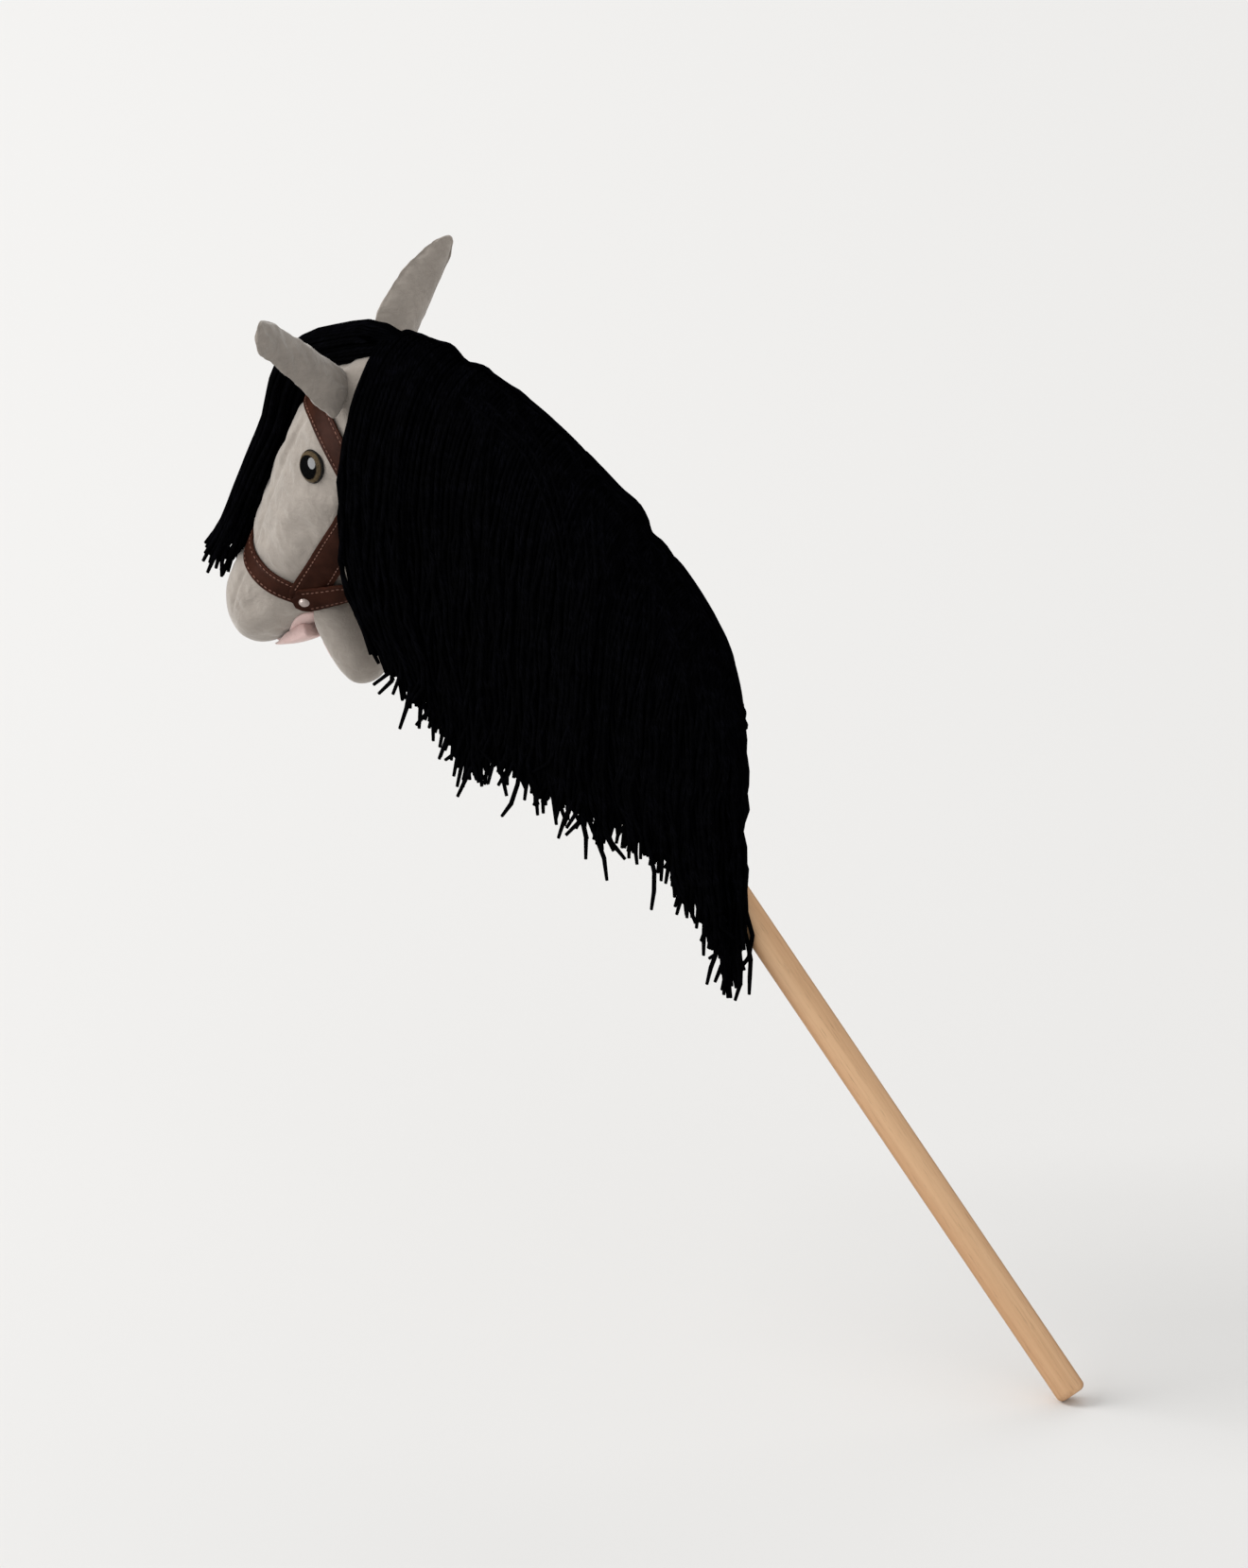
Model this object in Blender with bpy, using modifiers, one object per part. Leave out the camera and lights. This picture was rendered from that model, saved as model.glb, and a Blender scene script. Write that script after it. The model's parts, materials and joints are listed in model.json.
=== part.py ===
"""Hobby horse: a stuffed plush horse's head with a yarn mane and a strap halter, on a round wooden stick.

The toy is drawn upright first, in its own frame: x runs from the nose to the crest of the neck, y to the
horse's right, and z up the stick's axis from the middle of its foot. An empty then leans that frame forward
by LEAN, so that in the world +Z is up, the head faces -X and the yarn hangs along -Z. Sizes are in metres.
"""

import math

import bmesh
import bpy
from mathutils import Vector
from mathutils.bvhtree import BVHTree

# Whole toy
LEAN = math.radians(39.5)
GAP = 0.0003

# Stick
STICK_DIAMETER = 0.022
STICK_LENGTH = 0.790
STICK_ROUNDING = 0.0045
STICK_BORE_CLEARANCE = 0.0004
CAP_WALL = 0.003
CAP_DEPTH = 0.028
CAP_DOME = 0.005
STICK_ROOM_START = 0.3

# Neck where it is tied on the stick
TIE_HEIGHT = 0.455
TIE_WIDTH = 0.006
TIE_THICKNESS = 0.0018
TIED_CLOTH = 0.0045
FRILL_LENGTH = 0.014
FRILL_FLARE = 0.004
TIE_ROUNDING = 0.0005

# Stuffed neck and head, half widths
NECK_HALF_WIDTH = 0.046
CHEEK_HALF_WIDTH = 0.048
MUZZLE_HALF_WIDTH = 0.036
NECK_FULL_PLACE = (0.100, 0.641)
SECTION_POWER = 2.2

# Lower jaw
JAW_HINGE = (-0.143, 0.744)
JAW_HINGE_RADIUS = 0.0165
JAW_HALF_WIDTH = 0.026
JAW_LENGTH = 0.046
JAW_FORWARD = 0.009
JAW_CLEARANCE = 0.0008
JAW_POINTS = 20
JAW_POWER = 2.6

# The jaw's half width and half thickness as shares, with the share of its length at which they are reached
JAW_SHAPE = [
    (1.0, 1.0, 0.0),
    (1.0, 0.97, 0.2),
    (0.97, 0.94, 0.42),
    (0.90, 0.88, 0.63),
    (0.76, 0.74, 0.82),
    (0.50, 0.50, 0.95),
    (0.16, 0.18, 1.0),
]
JAW_END_ANGLES = [math.radians(angle) for angle in (85, 68, 51, 34, 17)]

# Mouth lining
LINING_THICKNESS = 0.0022
PALATE_SWELL = 0.0095
PALATE_WIDTH = 0.046
PALATE_TO_JAW = 0.004
LOWER_LINING_WIDTH = 0.034
LINING_START = 0.010

# Ears
EAR_BASE = (-0.017, 0.037, 0.875)
EAR_HALF_WIDTH = 0.0180
EAR_HALF_THICKNESS = 0.0062
EAR_SEAM = (0.237, 0.676, 0.760)
EAR_STAND = 0.003
EAR_CLEARANCE = 0.0005
EAR_LEFT_REACH = (0.0245, -0.075, 0.069)
EAR_LEFT_BOW = (-0.004, 0.006, 0.010)

# An ear's half width and half thickness as shares, evenly spaced from its foot to its blunt tip
EAR_PROFILE = [
    (0.80, 1.0),
    (0.94, 0.97),
    (1.0, 0.92),
    (0.99, 0.86),
    (0.95, 0.80),
    (0.87, 0.74),
    (0.76, 0.68),
    (0.64, 0.60),
    (0.24, 0.30),
]
EAR_RINGS = 16
EAR_RIGHT_REACH = (0.047, 0.080, 0.048)
EAR_RIGHT_BOW = (-0.012, -0.008, 0.007)

# Eyes
EYE_PLACE = (-0.064, -0.045, 0.842)
EYE_DIAMETER = 0.0245
EYE_HEIGHT = 0.0075
EYE_RIM = 0.0015
EYE_SEAT_DEPTH = 0.0019
SHANK_DIAMETER = 0.0055
SHANK_LENGTH = 0.016
WASHER_DIAMETER = 0.019
WASHER_THICKNESS = 0.0018
WASHER_DEPTH = 0.0055

# Halter
STRAP_THICKNESS = 0.0018
NOSEBAND_WIDTH = 0.0155
CHEEK_STRAP_WIDTH = 0.024
CHIN_STRAP_WIDTH = 0.019
BROW_STRAP_WIDTH = 0.017
CROWN_STRAP_WIDTH = 0.017
RIVET_PLACE = (-0.140, -0.036, 0.7685)
RIVET_DIAMETER = 0.0078
RIVET_HEIGHT = 0.0020
RIVET_POST_DIAMETER = 0.0036
CHEEK_RING_PLACE = (-0.042, -0.048, 0.799)
RIVET_TAIL = 0.009
RING_TAIL = 0.010
RIVET_ROOM = (-0.004, 0.02)
STRAP_END_BLUNTNESS = 0.12
LAYER_RUN_DOWN = 0.012

# Places on the horse's left that the straps pass, and where they cross its middle line, in stations
NOSEBAND_SIDE = (-0.157, -0.033, 0.7935)
NOSEBAND_CROSSING = 17.05
CHIN_SIDE = (-0.112, -0.040, 0.7440)
CHIN_UNDER = (-0.101, 0, 0.738)
CHIN_STACKED = 0.042
CHEEK_MIDDLE = (-0.0735, -0.046, 0.790)
CHEEK_STACKED = (0.022, 0.030)
BROW_LOW = (-0.038, -0.047, 0.837)
BROW_HIGH = (-0.040, -0.038, 0.874)
BROW_CROSSING = 12.85
CROWN_LOW = (-0.012, -0.048, 0.812)
CROWN_HIGH = (0.020, -0.042, 0.833)
CROWN_CROSSING = 9.95
CROWN_STACKED = 0.020

# Yarn
TAPE_WIDTH = 0.012
TAPE_THICKNESS = 0.0024
TAPE_TO_STRAP = 0.0016
MANE_THICKNESS = 0.0125
MANE_ROOT_THICKNESS = 0.0068
MANE_TIP_THICKNESS = 0.005
MANE_LIFT = TAPE_THICKNESS + 7 * GAP
MANE_BUCKLE_LIFT = 0.0036
MANE_FAR_SIDE = 0.018
MANE_LEAN_OUT = 0.04
MANE_DROPS = (0.186, 0.224, 0.250, 0.248, 0.222, 0.202, 0.186, 0.172)
MANE_REAR_DROPS = (0.164, 0.170, 0.190, 0.207)
MANE_RAGGED = 0.012
MANE_HANKS = 4
MANE_HANK_GAP = 0.0010
MANE_HINGE_DEPTH = 0.026
MANE_HINGE_GAP = 0.0012
MANE_HINGE_MARGINS = (0.0015, 0.0020)
MANE_ROWS = 26
HANK_COLUMNS = 6
BUNCH_COLUMNS = 7
ROOT_POINTS = 12
HANK_POINTS = 11
BUNCH_POINTS = 18
FORELOCK_HALF_WIDTH = 0.0165
FORELOCK_HALF_THICKNESS = 0.0120
FORELOCK_LIFT = 0.0030
FORELOCK_STAND_OFF = 0.006
FORELOCK_ARCH = 0.008
FORELOCK_ARCH_END = 0.45
FORELOCK_LENGTH = 0.222
FORELOCK_POINTS = 16

STICK_RADIUS = STICK_DIAMETER / 2
BORE_RADIUS = STICK_RADIUS + STICK_BORE_CLEARANCE
DOWN = Vector((-math.sin(LEAN), 0, -math.cos(LEAN)))
FORE_AFT = Vector((math.cos(LEAN), 0, -math.sin(LEAN)))
SIDE = Vector((0, 1, 0))


def above_tie(share):
    """A height between the tie and the place where the neck reaches its full width."""
    return TIE_HEIGHT + (NECK_FULL_PLACE[1] - TIE_HEIGHT) * share


# The skin's stations, from the frill round the stick up the crest, over the poll and down the face to the
# nose. Each holds a point of the outer line (crest, poll, face), the facing point of the inner line (throat,
# jaw, lip) and the half width between them. Lines are (x, z).
WAIST = BORE_RADIUS + TIED_CLOTH
FRILL = WAIST + FRILL_FLARE
TIE_HALF = TIE_WIDTH / 2 + GAP
STATIONS = [
    ((FRILL, TIE_HEIGHT - FRILL_LENGTH), (-FRILL, TIE_HEIGHT - FRILL_LENGTH), FRILL),
    ((WAIST, TIE_HEIGHT - TIE_HALF), (-WAIST, TIE_HEIGHT - TIE_HALF), WAIST),
    ((WAIST, TIE_HEIGHT + TIE_HALF), (-WAIST, TIE_HEIGHT + TIE_HALF), WAIST),
    ((0.044, above_tie(0.156)), (-0.034, above_tie(0.167)), 0.64 * NECK_HALF_WIDTH),
    ((0.079, above_tie(0.387)), (-0.050, above_tie(0.414)), 0.86 * NECK_HALF_WIDTH),
    ((0.097, above_tie(0.683)), (-0.062, above_tie(0.726)), 0.96 * NECK_HALF_WIDTH),
    (NECK_FULL_PLACE, (-0.071, 0.648), NECK_HALF_WIDTH),
    ((0.095, 0.701), (-0.076, 0.698), NECK_HALF_WIDTH),
    ((0.085, 0.755), (-0.080, 0.727), NECK_HALF_WIDTH),
    ((0.068, 0.803), (-0.086, 0.738), 0.98 * CHEEK_HALF_WIDTH),
    ((0.045, 0.846), (-0.093, 0.742), CHEEK_HALF_WIDTH),
    ((0.017, 0.880), (-0.100, 0.745), CHEEK_HALF_WIDTH),
    ((-0.022, 0.892), (-0.107, 0.747), CHEEK_HALF_WIDTH),
    ((-0.056, 0.887), (-0.115, 0.749), 0.96 * CHEEK_HALF_WIDTH),
    ((-0.086, 0.873), (-0.125, 0.750), 0.92 * CHEEK_HALF_WIDTH),
    ((-0.114, 0.857), (-0.137, 0.751), 1.14 * MUZZLE_HALF_WIDTH),
    ((-0.141, 0.841), (-0.150, 0.752), 1.06 * MUZZLE_HALF_WIDTH),
    ((-0.165, 0.827), (-0.165, 0.753), MUZZLE_HALF_WIDTH),
    ((-0.186, 0.816), (-0.181, 0.753), 0.95 * MUZZLE_HALF_WIDTH),
    ((-0.202, 0.806), (-0.194, 0.754), 0.82 * MUZZLE_HALF_WIDTH),
    ((-0.212, 0.795), (-0.205, 0.758), 0.58 * MUZZLE_HALF_WIDTH),
    ((-0.216, 0.784), (-0.213, 0.768), 0.22 * MUZZLE_HALF_WIDTH),
]
NOSE_END = len(STATIONS) - 1
NECK_HEAD_SPLIT = 8.0
SPLIT_GAP = 0.006
RING_POINTS = 24

# Where the yarn starts and ends along the crest, in stations
MANE_FRONT = 11.06
MANE_REAR = 4.05
MANE_REAR_BUNCH = 0.80
FORELOCK_START = 0.42
FORELOCK_LEAVES_FACE = 17.6


def clear_scene():
    for thing in list(bpy.data.objects):
        bpy.data.objects.remove(thing, do_unlink=True)


def new_collection(name, hidden=False):
    collection = bpy.data.collections.new(name)
    collection.hide_render = hidden
    bpy.context.scene.collection.children.link(collection)
    return collection


def new_material(name, colour, roughness, metallic=0.0):
    material = bpy.data.materials.new(name)
    material.use_nodes = True
    shader = material.node_tree.nodes["Principled BSDF"]
    shader.inputs["Base Color"].default_value = (*colour, 1)
    shader.inputs["Roughness"].default_value = roughness
    shader.inputs["Metallic"].default_value = metallic
    return material


def smooth_between(values, place):
    """Catmull-Rom through evenly numbered values, each a Vector or a number."""
    last = len(values) - 1
    place = min(max(place, 0.0), float(last))
    index = min(int(place), last - 1)
    t = place - index
    before = values[max(index - 1, 0)]
    start = values[index]
    end = values[index + 1]
    after = values[min(index + 2, last)]
    slope_in = (end - before) * 0.5
    slope_out = (after - start) * 0.5
    return (
        start * (2 * t**3 - 3 * t**2 + 1)
        + slope_in * (t**3 - 2 * t**2 + t)
        + end * (3 * t**2 - 2 * t**3)
        + slope_out * (t**3 - t**2)
    )


OUTER_LINE = [Vector((outer[0], 0, outer[1])) for outer, _, _ in STATIONS]
INNER_LINE = [Vector((inner[0], 0, inner[1])) for _, inner, _ in STATIONS]
HALF_WIDTHS = [width for _, _, width in STATIONS]


def ease(value):
    value = min(max(value, 0.0), 1.0)
    return value * value * (3 - 2 * value)


def signed_power(value, power):
    return math.copysign(abs(value) ** power, value)


def skin_point(station, angle):
    """A point of the skin: angle 0 is the crest, poll or face, and it grows towards the horse's right."""
    outer = smooth_between(OUTER_LINE, station)
    inner = smooth_between(INNER_LINE, station)
    width = smooth_between(HALF_WIDTHS, station)
    power = 2 + (SECTION_POWER - 2) * ease((station - 2) / 2)
    along = signed_power(math.cos(angle), 2 / power)
    across = signed_power(math.sin(angle), 2 / power)
    return (outer + inner) / 2 + (outer - inner) / 2 * along + SIDE * width * across


def crest_normal(station):
    step = 0.05
    run = smooth_between(OUTER_LINE, station + step) - smooth_between(OUTER_LINE, station - step)
    return SIDE.cross(run).normalized()


def mesh_object(name, points, faces, material, collection):
    """One mesh object from points and faces, its faces turned outwards."""
    mesh = bpy.data.meshes.new(name)
    mesh.from_pydata([tuple(p) for p in points], [], faces)
    work = bmesh.new()
    work.from_mesh(mesh)
    bmesh.ops.recalc_face_normals(work, faces=work.faces)
    work.to_mesh(mesh)
    work.free()
    mesh.shade_smooth()
    mesh.set_sharp_from_angle(angle=math.radians(50))
    if material:
        mesh.materials.append(material)
    thing = bpy.data.objects.new(name, mesh)
    collection.objects.link(thing)
    return thing


def loft(name, rings, material, collection):
    """A closed body through rings of equally many points, capped at both ends."""
    count = len(rings[0])
    points = [p for ring in rings for p in ring]
    faces = [list(range(count))[::-1]]
    for k in range(len(rings) - 1):
        for j in range(count):
            nxt = (j + 1) % count
            a, b = k * count, (k + 1) * count
            faces.append([a + j, a + nxt, b + nxt, b + j])
    faces.append([(len(rings) - 1) * count + j for j in range(count)])
    return mesh_object(name, points, faces, material, collection)


def slab(name, under, over, material, collection):
    """A closed body between two grids of points of the same shape."""
    rows, columns = len(under), len(under[0])
    points = [p for row in under for p in row] + [p for row in over for p in row]
    top = rows * columns
    faces = []
    for i in range(rows - 1):
        for j in range(columns - 1):
            a = i * columns + j
            b = a + columns
            faces.append([a, b, b + 1, a + 1])
            faces.append([top + a, top + a + 1, top + b + 1, top + b])
    for j in range(columns - 1):
        for a in (j, (rows - 1) * columns + j):
            faces.append([a, a + 1, top + a + 1, top + a])
    for i in range(rows - 1):
        for a in (i * columns, i * columns + columns - 1):
            faces.append([a, a + columns, top + a + columns, top + a])
    return mesh_object(name, points, faces, material, collection)


def turned(name, profile, steps, material, collection):
    """A turned body: profile is (radius, height) points from the top of its axis down the outside."""
    mesh = bpy.data.meshes.new(name)
    mesh.from_pydata([(r, 0, z) for r, z in profile], [(i, i + 1) for i in range(len(profile) - 1)], [])
    thing = bpy.data.objects.new(name, mesh)
    collection.objects.link(thing)
    screw = thing.modifiers.new("turn", "SCREW")
    screw.axis = "Z"
    screw.steps = steps
    screw.render_steps = steps
    screw.use_merge_vertices = True
    screw.merge_threshold = 0.00002
    screw.use_smooth_shade = True
    if material:
        mesh.materials.append(material)
    return thing


def aim(thing, place, axis):
    """Sets a turned body's origin on place and its axis along axis."""
    thing.location = place
    thing.rotation_euler = axis.to_track_quat("Z", "Y").to_euler()


def cut(thing, *cutters):
    for cutter in cutters:
        modifier = thing.modifiers.new("cut_" + cutter.name, "BOOLEAN")
        modifier.operation = "DIFFERENCE"
        modifier.solver = "EXACT"
        modifier.object = cutter
        cutter.display_type = "WIRE"
        cutter.hide_render = True


def ring_at(station, points):
    return [skin_point(station, 2 * math.pi * j / points) for j in range(points)]


def skin_rings(first, last, per_station, points):
    steps = max(1, round((last - first) * per_station))
    return [ring_at(first + (last - first) * k / steps, points) for k in range(steps + 1)]


class Surface:
    """Nearest points and sideways rays on a mesh made of rings."""

    def __init__(self, rings):
        count = len(rings[0])
        points = [p for ring in rings for p in ring]
        faces = []
        for k in range(len(rings) - 1):
            for j in range(count):
                nxt = (j + 1) % count
                faces.append([k * count + j, (k + 1) * count + j, (k + 1) * count + nxt, k * count + nxt])
        middle = sum(points, Vector()) / len(points)
        outward = 0.0
        for a, b, c, _ in faces:
            normal = (points[b] - points[a]).cross(points[c] - points[a])
            outward += (points[a] - middle).dot(normal)
        if outward < 0:
            faces = [face[::-1] for face in faces]
        self.tree = BVHTree.FromPolygons(points, faces)

    def nearest(self, point):
        place, normal, _, _ = self.tree.find_nearest(point)
        return place, normal

    def from_left(self, point):
        """The skin's point on the horse's left at this x and z, or None beside the skin."""
        start = Vector((point.x, -1.0, point.z))
        place, normal, _, _ = self.tree.ray_cast(start, SIDE)
        return place, normal


def along(points):
    """The distance from a line's start to each of its points."""
    reach = [0.0]
    for a, b in zip(points, points[1:]):
        reach.append(reach[-1] + (b - a).length)
    return reach


def resampled(points, count):
    """The same line in count points at even distances."""
    reach = along(points)
    line = []
    for k in range(count):
        wanted = reach[-1] * k / (count - 1)
        i = next((n for n in range(1, len(reach)) if reach[n] >= wanted), len(reach) - 1)
        share = (wanted - reach[i - 1]) / max(reach[i] - reach[i - 1], 1e-9)
        line.append(points[i - 1].lerp(points[i], min(share, 1.0)))
    return line


def even_line(points, count):
    """Points at even distances on a smooth line through the given ones, and the line's length."""
    steps = 12 * len(points)
    fine = [smooth_between(points, (len(points) - 1) * k / steps) for k in range(steps + 1)]
    return resampled(fine, count), along(fine)[-1]


def joint(name, place, axis, pieces, toy):
    """An empty on a joint's axis, its Z along it, that carries the pieces which turn there."""
    pivot = bpy.data.objects.new(name, None)
    toy.objects.link(pivot)
    aim(pivot, place, axis)
    for piece in pieces:
        piece.parent = pivot
        piece.matrix_parent_inverse = pivot.matrix_basis.inverted()


def strap(name, surface, guide, width, thickness, material, collection, lift_at=None, samples=24, across=5,
          round_start=False, round_end=False):
    """A strap that lies on a surface along a guide line. lift_at gives its height off the surface at a
    distance from its start; thickness is a number or a function of the share of its length."""
    seated = [surface.nearest(p)[0] for p in guide]
    line, length = even_line(seated, samples)
    under, over = [], []
    for i, place in enumerate(line):
        run = line[min(i + 1, samples - 1)] - line[max(i - 1, 0)]
        foot, normal = surface.nearest(place)
        sideways = normal.cross(run).normalized()
        distance = length * i / (samples - 1)
        half = width / 2
        if round_start and distance < half:
            half *= math.sqrt(max(STRAP_END_BLUNTNESS, 1 - (1 - distance / half) ** 2))
        if round_end and length - distance < width / 2:
            half *= math.sqrt(max(STRAP_END_BLUNTNESS, 1 - (1 - (length - distance) / (width / 2)) ** 2))
        lift = lift_at(distance, length) if lift_at else GAP
        depth = thickness(distance / length) if callable(thickness) else thickness
        row_under, row_over = [], []
        for j in range(across):
            reach = half * (2 * j / (across - 1) - 1)
            spot, direction = surface.nearest(foot + sideways * reach)
            row_under.append(spot + direction * lift)
            row_over.append(spot + direction * (lift + depth))
        under.append(row_under)
        over.append(row_over)
    return slab(name, under, over, material, collection)


def mirrored(point):
    return Vector((point[0], -point[1], point[2]))


# Halter layers, counted up from the skin where straps lie over each other
LAYER = STRAP_THICKNESS + GAP


def layered(start_layer, end_layer, start_run, end_run):
    """A strap's lift: start_layer at its start and end_layer at its end, down on the skin between them."""

    def lift_at(distance, length):
        near_start = start_layer * LAYER * (1 - ease((distance - start_run) / LAYER_RUN_DOWN))
        near_end = end_layer * LAYER * (1 - ease((length - distance - end_run) / LAYER_RUN_DOWN))
        return GAP + max(near_start, near_end)

    return lift_at


# The rings that round off a hinged piece's foot
FOOT_ANGLES = [math.radians(80), math.radians(53), math.radians(27)]


def blade(name, base, reach, bow, flat_axis, half_width, half_thickness, profile, material, collection):
    """A stuffed blade such as an ear: it stands on a rounded foot whose axis, flat_axis, runs through base.
    profile holds shares of the half width and half thickness, evenly spaced from foot to tip."""
    tip = base + Vector(reach)
    middle = base.lerp(tip, 0.5) + Vector(bow)
    places = []
    for k in range(EAR_RINGS + 1):
        t = k / EAR_RINGS
        places.append(base * (1 - t) ** 2 + middle * (2 * t * (1 - t)) + tip * t**2)
    rings = []
    foot_run = (places[1] - places[0]).normalized()
    foot_flat = (flat_axis - foot_run * flat_axis.dot(foot_run)).normalized()
    foot_thick = foot_run.cross(foot_flat).normalized()
    foot_half = half_thickness * profile[0][1]
    for angle in FOOT_ANGLES:
        centre = base - foot_run * foot_half * math.sin(angle)
        depth = foot_half * math.cos(angle)
        rings.append(oval(centre, foot_flat, foot_thick, half_width * profile[0][0], depth))
    widths = [w for w, _ in profile]
    depths = [d for _, d in profile]
    for k, place in enumerate(places):
        run = (places[min(k + 1, EAR_RINGS)] - places[max(k - 1, 0)]).normalized()
        flat = (flat_axis - run * flat_axis.dot(run)).normalized()
        thick = run.cross(flat).normalized()
        spot = (len(profile) - 1) * k / EAR_RINGS
        width = half_width * smooth_between(widths, spot)
        depth = half_thickness * smooth_between(depths, spot)
        rings.append(oval(place, flat, thick, width, depth))
    return loft(name, rings, material, collection), foot_flat


def oval(centre, wide, deep, half_width, half_depth, points=16, power=2.0):
    """A ring of points; a power over 2 makes it squarer."""
    ring = []
    for j in range(points):
        angle = 2 * math.pi * j / points
        across = half_width * signed_power(math.cos(angle), 2 / power)
        along_deep = half_depth * signed_power(math.sin(angle), 2 / power)
        ring.append(centre + wide * across + deep * along_deep)
    return ring


def build_materials():
    return {
        "wood": new_material("beech_wood", (0.52, 0.33, 0.19), 0.55),
        "plush": new_material("grey_plush", (0.42, 0.38, 0.34), 0.9),
        "lining": new_material("pink_lining", (0.66, 0.48, 0.46), 0.85),
        "leather": new_material("brown_strap", (0.055, 0.018, 0.012), 0.5),
        "rivet": new_material("rivet_metal", (0.75, 0.68, 0.65), 0.3, 1.0),
        "eye": new_material("eye_plastic", (0.01, 0.009, 0.008), 0.12),
        "yarn": new_material("black_yarn", (0.006, 0.006, 0.008), 0.85),
        "tape": new_material("black_tape", (0.012, 0.012, 0.014), 0.8),
        "plastic": new_material("white_plastic", (0.7, 0.7, 0.68), 0.4),
    }


def build_stick(materials, toy):
    top = STICK_LENGTH
    bulge = STICK_ROUNDING * (1 - math.cos(math.radians(45)))
    profile = [
        (0, top),
        (STICK_RADIUS - STICK_ROUNDING, top),
        (STICK_RADIUS - bulge, top - bulge),
        (STICK_RADIUS, top - STICK_ROUNDING),
        (STICK_RADIUS, STICK_ROUNDING),
        (STICK_RADIUS - bulge, bulge),
        (STICK_RADIUS - STICK_ROUNDING, 0),
        (0, 0),
    ]
    turned("stick", profile, 32, materials["wood"], toy)
    inside = STICK_RADIUS + GAP
    outside = inside + CAP_WALL
    floor = top + GAP
    profile = [
        (0, floor + CAP_WALL + CAP_DOME),
        (0.6 * outside, floor + CAP_WALL + 0.75 * CAP_DOME),
        (outside, floor + CAP_WALL - 0.2 * CAP_DOME),
        (outside, top - CAP_DEPTH),
        (inside, top - CAP_DEPTH),
        (inside, floor),
        (0, floor),
    ]
    turned("stick_cap", profile, 24, materials["plastic"], toy)


def stick_cutter(cutters):
    """The room that the stick and its cap take in the stuffing."""
    top = STICK_LENGTH + CAP_WALL + 1.3 * CAP_DOME
    cap = STICK_RADIUS + CAP_WALL + 2 * GAP + STICK_BORE_CLEARANCE
    collar = STICK_LENGTH - CAP_DEPTH - 2 * GAP
    profile = [(0, top), (cap, top), (cap, collar), (BORE_RADIUS, collar), (BORE_RADIUS, STICK_ROOM_START),
               (0, STICK_ROOM_START)]
    return turned("stick_room", profile, 24, None, cutters)


def build_tie(materials, toy):
    inner = WAIST + GAP
    outer = inner + TIE_THICKNESS
    low, high = TIE_HEIGHT - TIE_WIDTH / 2, TIE_HEIGHT + TIE_WIDTH / 2
    profile = [
        (inner, high),
        (outer - TIE_ROUNDING, high),
        (outer, high - TIE_ROUNDING),
        (outer, low + TIE_ROUNDING),
        (outer - TIE_ROUNDING, low),
        (inner, low),
        (inner, high),
    ]
    turned("neck_tie", profile, 32, materials["plastic"], toy)


def build_eye(name, place, axis, materials, toy, cutters):
    """One eye with its shank, its washer, and the cutter for its seat."""
    radius = EYE_DIAMETER / 2
    seat = -EYE_SEAT_DEPTH + GAP
    dome = [(0, seat + EYE_HEIGHT)]
    for k in range(1, 6):
        angle = math.pi / 2 * k / 5
        dome.append((radius * math.sin(angle), seat + EYE_RIM + (EYE_HEIGHT - EYE_RIM) * math.cos(angle)))
    shank = SHANK_DIAMETER / 2
    profile = dome + [(radius, seat), (shank, seat), (shank, seat - SHANK_LENGTH), (0, seat - SHANK_LENGTH)]
    aim(turned(name, profile, 24, materials["eye"], toy), place, axis)
    washer_top = -EYE_SEAT_DEPTH - WASHER_DEPTH
    hole = shank + GAP
    rim = WASHER_DIAMETER / 2
    profile = [
        (hole, washer_top),
        (rim, washer_top),
        (rim, washer_top - WASHER_THICKNESS),
        (hole, washer_top - WASHER_THICKNESS),
        (hole, washer_top),
    ]
    aim(turned(name.replace("eye", "eye_washer"), profile, 24, materials["plastic"], toy), place, axis)
    room = [
        (0, 0.02),
        (radius + GAP, 0.02),
        (radius + GAP, -EYE_SEAT_DEPTH),
        (shank + 2 * GAP, -EYE_SEAT_DEPTH),
        (shank + 2 * GAP, washer_top + GAP),
        (rim + GAP, washer_top + GAP),
        (rim + GAP, washer_top - WASHER_THICKNESS - GAP),
        (shank + 2 * GAP, washer_top - WASHER_THICKNESS - GAP),
        (shank + 2 * GAP, seat - SHANK_LENGTH - GAP),
        (0, seat - SHANK_LENGTH - GAP),
    ]
    cutter = turned(name + "_room", room, 24, None, cutters)
    aim(cutter, place, axis)
    return cutter


def build_head_and_neck(surface, grooves, materials, toy, cutters):
    bore = stick_cutter(cutters)
    rings = skin_rings(0, 1, 2, RING_POINTS) + skin_rings(2, NECK_HEAD_SPLIT - SPLIT_GAP, 2.5, RING_POINTS)
    neck = loft("neck", rings, materials["plush"], toy)
    cut(neck, bore)
    rings = skin_rings(NECK_HEAD_SPLIT + SPLIT_GAP, NOSE_END, 2.5, RING_POINTS)
    head = loft("head", rings, materials["plush"], toy)
    socket_radius = JAW_HINGE_RADIUS + JAW_CLEARANCE
    side = JAW_HALF_WIDTH + JAW_CLEARANCE
    profile = [(0, side), (socket_radius, side), (socket_radius, -side), (0, -side)]
    socket = turned("jaw_room", profile, 32, None, cutters)
    aim(socket, Vector((JAW_HINGE[0], 0, JAW_HINGE[1])), SIDE)
    rooms = [bore, socket, *grooves]
    for name, spot in (("eye_left", Vector(EYE_PLACE)), ("eye_right", mirrored(EYE_PLACE))):
        place, axis = surface.nearest(spot)
        rooms.append(build_eye(name, place, axis, materials, toy, cutters))
    cut(head, *rooms)


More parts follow.
